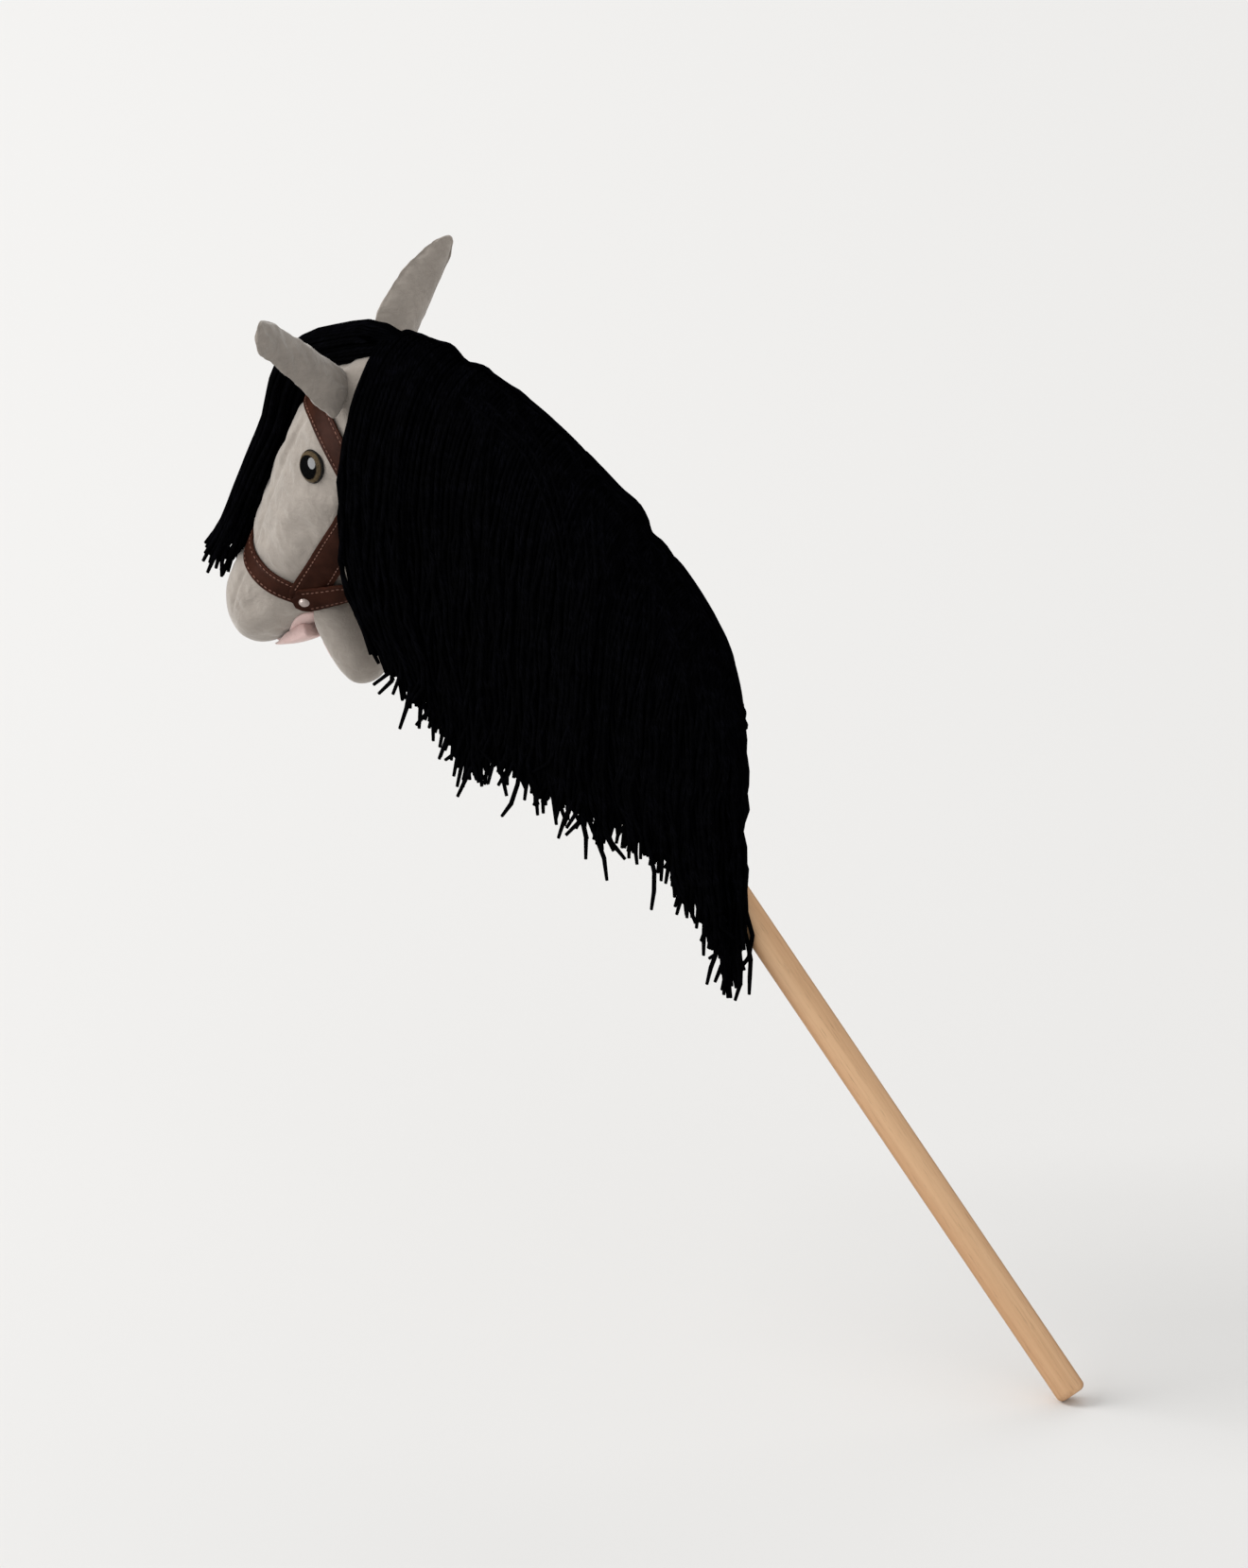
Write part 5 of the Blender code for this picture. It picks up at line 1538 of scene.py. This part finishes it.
def loose_strand(drape, route, depth, chance):
    """A strand laid along a route of (share, fall) places, waving more and more on its way to a curled end.
    depth is its layer, from the skin, 0, to the outside, 1."""
    radius = sizes().strand / 2
    drop = route[-1][1]
    lock = round(route[-1][0] * LOCKS)
    steady = 0.25 + 0.75 * ease(route[-1][0] / 0.11)
    toward_lock = (lock / LOCKS - route[-1][0]) * CREST_RUN * 0.45 * depth * steady
    sway = chance.uniform(-1, 1) * (0.003 + 0.009 * depth) * steady
    wave = chance.uniform(0.0004, 0.0014) + 0.0012 * depth
    pace = chance.uniform(70, 150)
    phase = chance.uniform(0, 6.3)
    own = Vector((chance.uniform(0, 9), chance.uniform(0, 9), 0))
    own_lift = chance.uniform(-0.0006, 0.0012) * depth
    points = []
    for share, fall in route:
        place, out = drape.at(share, fall)
        low = max(fall, 0.0)
        thick = ROOT_THICKNESS + (MANE_THICKNESS - ROOT_THICKNESS) * ease(low / 0.05)
        thick += (TIP_THICKNESS - thick) * ease((low / drop - 0.72) / 0.28)
        thick *= 1 - 0.5 * ease(-fall / MANE_FAR_SIDE)
        height = mane_lift(share) + radius + depth * max(0.0, thick - 2 * radius) + own_lift
        loose = ease(low / 0.09)
        drift = noise.noise_vector(place * 9 + Vector((0, 0, 3 * depth)))
        fine = noise.noise_vector(place * 34 + own)
        aside = mane_bow(share, low) + (sway + toward_lock) * loose * low / 0.2
        aside += loose * steady * (0.010 * drift.x * depth * low / 0.15 + 0.0030 * fine.x)
        aside += wave * loose * math.sin(low * pace + phase)
        swing = loose * (0.0012 * fine.y + 0.5 * wave * math.cos(low * pace * 0.8 + phase))
        points.append(place + out * (height + swing) + BEHIND * aside)
    points = even_line(points, STRAND_POINTS, 1.25)
    tip = chance.uniform(*CURL_LENGTHS)
    bend = chance.choice((-1, 1, 1)) * chance.triangular(0.0, 0.80, 0.06) * (0.4 + 0.6 * depth)
    if chance.random() < CURLED_STRANDS:
        bend *= 2.2
    return hooked(points, tip, bend * steady, (SIDE + BEHIND * chance.uniform(-0.5, 0.5)).normalized())


def hanging_route(share, drop):
    """Straight over the crest and down. The last strands start nearer the crest's middle."""
    far_side = 0.6 * MANE_FAR_SIDE * (1 - 0.7 * ease((share - 0.88) / 0.12))
    falls = [-far_side * (1 - k / 4) for k in range(4)]
    falls += [drop * (k / 30) ** 1.4 for k in range(31)]
    return [(share, fall) for fall in falls]


def ridge_route(start, leave, first_fall, drop):
    """Along the crest from one share to another, then over its edge and down."""
    route = []
    for k in range(44):
        part = k / 43
        along_crest = ease(part / 0.62)
        fall = first_fall + 0.006 * along_crest + drop * max(0.0, (part - 0.30) / 0.70) ** 1.7
        route.append((start + (leave - start) * along_crest + 0.012 * part, fall))
    return route


def binding_strands(drape, chance):
    """Strands that run along the crest and cover where the others are sewn down."""
    strands = []
    for row in range(BINDING_ROWS):
        fall = -MANE_FAR_SIDE * (1 - 0.92 * row / (BINDING_ROWS - 1))
        start = -0.02 + chance.uniform(0, 0.06)
        while start < 0.97:
            end = min(1.0, start + chance.uniform(0.22, 0.34))
            if row > 3 and start < 0.24:
                start = end - 0.02
                continue
            phase = chance.uniform(0, 6.3)
            tuck = chance.uniform(0.0, 0.0012)
            points = []
            for k in range(26):
                part = k / 25
                share = start + (end - start) * part
                wander = 0.0016 * math.sin(9 * part + phase) + 0.004 * (part - 0.5)
                rounded = fall * (1 - 0.80 * ease((share - 0.86) / 0.14))
                place, out = drape.at(share, rounded + wander)
                rise = BINDING_HEIGHT * (0.45 + 0.55 * ease(row / 3)) + tuck
                rise -= 0.0035 * (1 - ease(part / 0.12) * ease((1 - part) / 0.12))
                points.append(place + out * (mane_lift(share) + rise))
            strands.append(even_line(points, STRAND_POINTS))
            start = end - 0.03
    return strands


def hanging_strands(drape, chance, count):
    """The share and the line of every strand in the mane's layers."""
    size = sizes()
    lock_lengths = [chance.uniform(*LOCK_LENGTHS) for _ in range(LOCKS + 1)]
    for layer in range(size.layers):
        depth = layer / max(1, size.layers - 1)
        for k in range(count):
            share = (k + 0.5 + 0.33 * (layer % 3 - 1)) / count
            share = min(max(share + chance.uniform(-0.3, 0.3) / count, 0.0), 1.0)
            drop = mane_drop(share) + 0.004
            drop += lock_lengths[round(share * LOCKS)] * (0.3 + 0.7 * depth)
            ragged = chance.triangular(-0.9 - 1.3 * depth, 0.9, 0.4) * (0.55 + 0.45 * ease(share / 0.16))
            drop += ragged * size.raggedness - 0.003 * (1 - depth)
            if chance.random() < LOW_STRANDS:
                drop += chance.uniform(*LOWER_BY)
            yield share, loose_strand(drape, hanging_route(share, drop), depth, chance)


def ridge_strands(drape, chance):
    """The share and the line of every strand that runs along the crest before it falls, and of the strays."""
    for start, leave, number in RIDGE_LOCKS:
        for k in range(number):
            part = (k + chance.uniform(0.1, 0.9)) / number
            goes_over = leave - 0.13 * (1 - part) + chance.uniform(-0.01, 0.01)
            begins = start + chance.uniform(-0.05, 0.05)
            drop = mane_drop(min(goes_over, 1.0)) + chance.uniform(-1.5, 0.8) * sizes().raggedness
            route = ridge_route(begins, min(goes_over, 0.985), -0.019 + 0.024 * (1 - part), drop)
            yield goes_over, loose_strand(drape, route, 0.75 + 0.35 * chance.random(), chance)
    for share, drop in STRAYS:
        yield share, loose_strand(drape, hanging_route(share, drop), 1.0, chance)


def root_strands(drape, chance, count):
    """Short strands over the crest that cover where the hanks start."""
    falls = [-0.5 * MANE_FAR_SIDE * (1 - k / 5) for k in range(5)]
    falls += [0.034 * (k / 8) ** 1.5 for k in range(9)]
    strands = []
    for k in range(count):
        share = (k + chance.uniform(0.2, 0.8)) / count * REAR_BUNCH
        tuft = 0.0022 * (0.5 + 0.5 * noise.noise(Vector((share * 31, 0.5, 0)))) + chance.uniform(0, 0.0012)
        tuft += chance.uniform(0, 0.0009) * (1 - ease((share - 0.22) / 0.08))
        points = []
        for fall in falls:
            place, out = drape.at(share + 0.004 * math.sin(k + fall * 90), fall)
            rise = ROOT_THICKNESS - 0.0030 + tuft * ease(1 - abs(fall) / 0.034)
            points.append(place + out * (mane_lift(share) + rise))
        strands.append(even_line(points, 11))
    return strands


def build_mane():
    """Four hanks along the crest, the bunch behind them, and the roots that stay on the crest."""
    chance = random.Random(MANE_SEED)
    drape = Drape()
    count = round(CREST_RUN / sizes().strand_pitch)
    hanks = [[] for _ in range(HANKS)]
    bunch = []
    for strands in (hanging_strands(drape, chance, count), ridge_strands(drape, chance)):
        for share, points in strands:
            if share < REAR_BUNCH:
                hanks[min(HANKS - 1, int(share / REAR_BUNCH * HANKS))].append(points)
            else:
                bunch.append(points)
    roots = binding_strands(drape, chance) + root_strands(drape, chance, count)

    radius = sizes().strand / 2
    crest_run = smooth_between(OUTER_LINE, MANE_REAR) - smooth_between(OUTER_LINE, MANE_FRONT)
    inward = SIDE.cross(crest_run).normalized()
    if inward.z > 0:
        inward.negate()
    for k, strands in enumerate(hanks):
        number = str(k + 1)
        piece = yarn_piece("yarn_hank_" + number, strands, radius)
        finish_piece(piece, material_of("yarn"), None, "yarn", "mane_hank_" + number)
        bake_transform(piece)
    piece = yarn_piece("yarn_roots", roots, radius)
    finish_piece(piece, material_of("yarn"), "root", "yarn", "mane_roots")
    piece = yarn_piece("yarn_rear_bunch", bunch, radius)
    finish_piece(piece, material_of("yarn"), "root", "yarn", "mane_rear_bunch")


def forelock_line():
    """The forelock's middle line with its outward direction, half width and half thickness. It starts under
    the mane's front strands."""
    steps = 60
    first, last = FORELOCK_FROM, FORELOCK_LEAVES_FACE
    line = [smooth_between(OUTER_LINE, first + (last - first) * k / steps) for k in range(steps + 1)]
    length = along(line)[-1]
    line.append(line[-1] + (line[-1] - line[-4]).normalized() * (FORELOCK_LENGTH - length))
    reach = along(line)
    places = []
    for station, lift, narrow in FORELOCK_ROOT:
        out = crest_normal(station)
        wide = FORELOCK_HALF_WIDTH * narrow
        place = smooth_between(OUTER_LINE, station) + out * lift
        places.append((place, out, wide, FORELOCK_HALF_THICKNESS * narrow))
    rows = 24
    for k in range(rows + 1):
        share = k / rows
        place, run = point_at(line, reach, reach[-1] * share)
        out = run.cross(SIDE).normalized()
        if out.dot(UP_STICK - TO_CREST) < 0:
            out.negate()
        wide = FORELOCK_HALF_WIDTH * (0.86 + 0.24 * ease(share / 0.7))
        arch = FORELOCK_ARCH * math.sin(math.pi * min(1.0, share / FORELOCK_ARCH_END)) ** 2
        lift = FORELOCK_LIFT + arch + FORELOCK_STAND_OFF * share**1.5
        places.append((place + out * lift, out, wide, FORELOCK_HALF_THICKNESS))
    return places


def build_forelock():
    """A bunch of yarn that starts under the mane and falls over the face."""
    chance = random.Random(FORELOCK_SEED)
    places = forelock_line()
    radius = sizes().strand / 2
    root_rows = len(FORELOCK_ROOT)
    strands = []
    for ring, number in FORELOCK_RINGS:
        for k in range(number):
            angle = 2 * math.pi * (k + chance.uniform(-0.25, 0.25)) / number
            drift = chance.uniform(-0.8, 0.8)
            wave = chance.uniform(0.0006, 0.0020)
            spread = chance.uniform(-0.0035, 0.0035)
            away = chance.uniform(-0.0020, 0.0020)
            phase = chance.uniform(0, 6.3)
            end = len(places) - chance.choice((0, 0, 0, 1, 1, 2, 3, 4, 5))
            points = []
            for at in range(end):
                place, out, wide, thick = places[at]
                share = max(0.0, (at - root_rows) / (len(places) - 1 - root_rows))
                turn = angle + drift * share
                across = ring * math.cos(turn) * (wide - radius)
                deep = ring * math.sin(turn) * (thick - radius)
                if deep < 0:
                    deep *= 1 + 0.95 * (1 - ease(share / 0.60))
                loose = ease(share / 0.5)
                across += loose * (spread * share + wave * math.sin(17 * share + phase))
                deep += loose * (away * share + 0.6 * wave * math.cos(14 * share + phase))
                points.append(place + SIDE * across + out * deep)
            points = even_line(points, STRAND_POINTS)
            bend = chance.choice((-1, 1)) * chance.triangular(0.0, 0.6, 0.1)
            axis = (SIDE * chance.uniform(-1, 1) + UP_STICK * chance.uniform(-1, 1)).normalized()
            strands.append(hooked(points, chance.uniform(0.012, 0.026), bend, axis))
    piece = yarn_piece("yarn_forelock", strands, radius)
    finish_piece(piece, material_of("yarn"), None, "yarn", "forelock")
    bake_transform(piece)


# Stage

def softbox(name, shape, place, offset, size, power):
    """An area light that shines on a place from an offset."""
    data = bpy.data.lights.new(name, "AREA")
    data.shape = shape
    data.size = size
    data.energy = power
    light = linked(name, data)
    light.location = place + offset
    light.rotation_euler = offset.to_track_quat("Z", "Y").to_euler()
    return light


def build_stage():
    """A pale floor, soft light and the photograph's view."""
    floor = added("studio_floor", "plane", size=60, location=(0, 0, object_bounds()[0].z - 0.0002))
    material, _, _ = new_material("studio_floor", {
        "Base Color": shade_of(colours().floor, 1), "Roughness": 1.0, "Specular IOR Level": 0.0})
    floor.data.materials.append(material)
    floor.visible_glossy = False
    floor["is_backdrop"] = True

    right = Vector((math.cos(VIEW_AZIMUTH), math.sin(VIEW_AZIMUTH), 0))
    toward = Vector((math.sin(VIEW_AZIMUTH) * math.cos(VIEW_ELEVATION),
                     -math.cos(VIEW_AZIMUTH) * math.cos(VIEW_ELEVATION), math.sin(VIEW_ELEVATION)))
    up = toward.cross(right)
    lens = bpy.data.cameras.new("studio_camera")
    lens.sensor_width = SENSOR
    lens.lens = SENSOR * CAMERA_DISTANCE / VIEW_HEIGHT
    lens.clip_end = 200
    camera = linked("studio_camera", lens)
    camera.location = right * VIEW_CENTRE[0] + up * VIEW_CENTRE[1] + toward * CAMERA_DISTANCE
    camera.rotation_euler = Matrix((right, up, toward)).transposed().to_euler()
    bpy.context.scene.camera = camera

    for name, (offset, size, power) in SOFTBOXES.items():
        light = softbox(name, "SQUARE", toy(0, 0, 0.62), Vector(offset), size, power)
        light.visible_glossy = False
    # A softbox that shines only in glossy things puts the light in the eye
    place, axis = SKIN.nearest(EYE_PLACE)
    aside = (axis - toward * axis.dot(toward)).normalized()
    offset = toward * math.cos(CATCH_ANGLE) + aside * math.sin(CATCH_ANGLE) + up * CATCH_RISE
    light = softbox("catch_softbox", "DISK", place, offset * CATCH_DISTANCE, CATCH_SIZE, CATCH_POWER)
    light.visible_diffuse = False

    world = bpy.data.worlds.new("studio_world")
    world.use_nodes = True
    background = world.node_tree.nodes["Background"]
    background.inputs["Color"].default_value = SKY_COLOUR
    background.inputs["Strength"].default_value = SKY_STRENGTH
    bpy.context.scene.world = world
    world.cycles_visibility.glossy = False
    bpy.context.scene.view_settings.view_transform = "Standard"


# The add-on's operators, one for each group of pieces

class HobbyOperator:
    bl_options = {"REGISTER", "UNDO"}

    def execute(self, context):
        type(self).build()
        return {"FINISHED"}


class HOBBY_OT_stage(HobbyOperator, bpy.types.Operator):
    """Adds the floor, the soft lights and the camera"""
    bl_idname = "hobby.stage"
    bl_label = "Studio Stage"
    build = staticmethod(build_stage)


class HOBBY_OT_stick(HobbyOperator, bpy.types.Operator):
    """Adds the turned wooden stick with its long grain"""
    bl_idname = "hobby.stick"
    bl_label = "Turned Stick"
    build = staticmethod(build_stick)


class HOBBY_OT_tie(HobbyOperator, bpy.types.Operator):
    """Adds the tie that gathers the neck's cloth on the stick"""
    bl_idname = "hobby.tie"
    bl_label = "Neck Tie"
    build = staticmethod(build_tie)


class HOBBY_OT_fittings(HobbyOperator, bpy.types.Operator):
    """Gives the hidden cap, washers and tapes their finish"""
    bl_idname = "hobby.fittings"
    bl_label = "Hidden Fittings"
    build = staticmethod(dress_fittings)


class HOBBY_OT_head(HobbyOperator, bpy.types.Operator):
    """Adds the stuffed head and neck with their seams"""
    bl_idname = "hobby.head"
    bl_label = "Plush Head and Neck"
    build = staticmethod(build_head)


class HOBBY_OT_mouth(HobbyOperator, bpy.types.Operator):
    """Adds the lower jaw and the pink lining of the mouth"""
    bl_idname = "hobby.mouth"
    bl_label = "Jaw and Lining"
    build = staticmethod(build_mouth)


class HOBBY_OT_ears(HobbyOperator, bpy.types.Operator):
    """Adds the two stuffed ears"""
    bl_idname = "hobby.ears"
    bl_label = "Ears"
    build = staticmethod(build_ears)


class HOBBY_OT_eyes(HobbyOperator, bpy.types.Operator):
    """Adds the two glossy eyes with their olive brown rims"""
    bl_idname = "hobby.eyes"
    bl_label = "Eyes"
    build = staticmethod(build_eyes)


class HOBBY_OT_halter(HobbyOperator, bpy.types.Operator):
    """Adds the six stitched straps of the halter"""
    bl_idname = "hobby.halter"
    bl_label = "Halter"
    build = staticmethod(build_halter)


class HOBBY_OT_rivets(HobbyOperator, bpy.types.Operator):
    """Adds the two rivets that join the straps"""
    bl_idname = "hobby.rivets"
    bl_label = "Rivets"
    build = staticmethod(build_rivets)


class HOBBY_OT_mane(HobbyOperator, bpy.types.Operator):
    """Adds the mane, strand by strand"""
    bl_idname = "hobby.mane"
    bl_label = "Mane"
    build = staticmethod(build_mane)


class HOBBY_OT_forelock(HobbyOperator, bpy.types.Operator):
    """Adds the forelock, strand by strand"""
    bl_idname = "hobby.forelock"
    bl_label = "Forelock"
    build = staticmethod(build_forelock)


OPERATORS = (HOBBY_OT_stick, HOBBY_OT_tie, HOBBY_OT_fittings, HOBBY_OT_head, HOBBY_OT_mouth,
             HOBBY_OT_ears, HOBBY_OT_eyes, HOBBY_OT_halter, HOBBY_OT_rivets, HOBBY_OT_mane,
             HOBBY_OT_forelock, HOBBY_OT_stage)


class HOBBY_PT_panel(bpy.types.Panel):
    """Lists the toy's pieces, sizes and colours"""
    bl_idname = "HOBBY_PT_panel"
    bl_label = "Hobby Horse"
    bl_space_type = "VIEW_3D"
    bl_region_type = "UI"
    bl_category = "Hobby Horse"

    def draw(self, context):
        for group in (context.scene.hobby_sizes, context.scene.hobby_colours):
            column = self.layout.column()
            for name in group.__annotations__:
                column.prop(group, name)
        for operator in OPERATORS:
            self.layout.operator(operator.bl_idname)


CLASSES = (HobbyColours, HobbySizes, *OPERATORS, HOBBY_PT_panel)


def register():
    for kind in CLASSES:
        bpy.utils.register_class(kind)
    bpy.types.Scene.hobby_colours = bpy.props.PointerProperty(type=HobbyColours)
    bpy.types.Scene.hobby_sizes = bpy.props.PointerProperty(type=HobbySizes)


def unregister():
    del bpy.types.Scene.hobby_sizes
    del bpy.types.Scene.hobby_colours
    for kind in reversed(CLASSES):
        bpy.utils.unregister_class(kind)


def main():
    register()
    for operator in OPERATORS:
        group, name = operator.bl_idname.split(".")
        getattr(getattr(bpy.ops, group), name)()


if __name__ == "__main__":
    main()
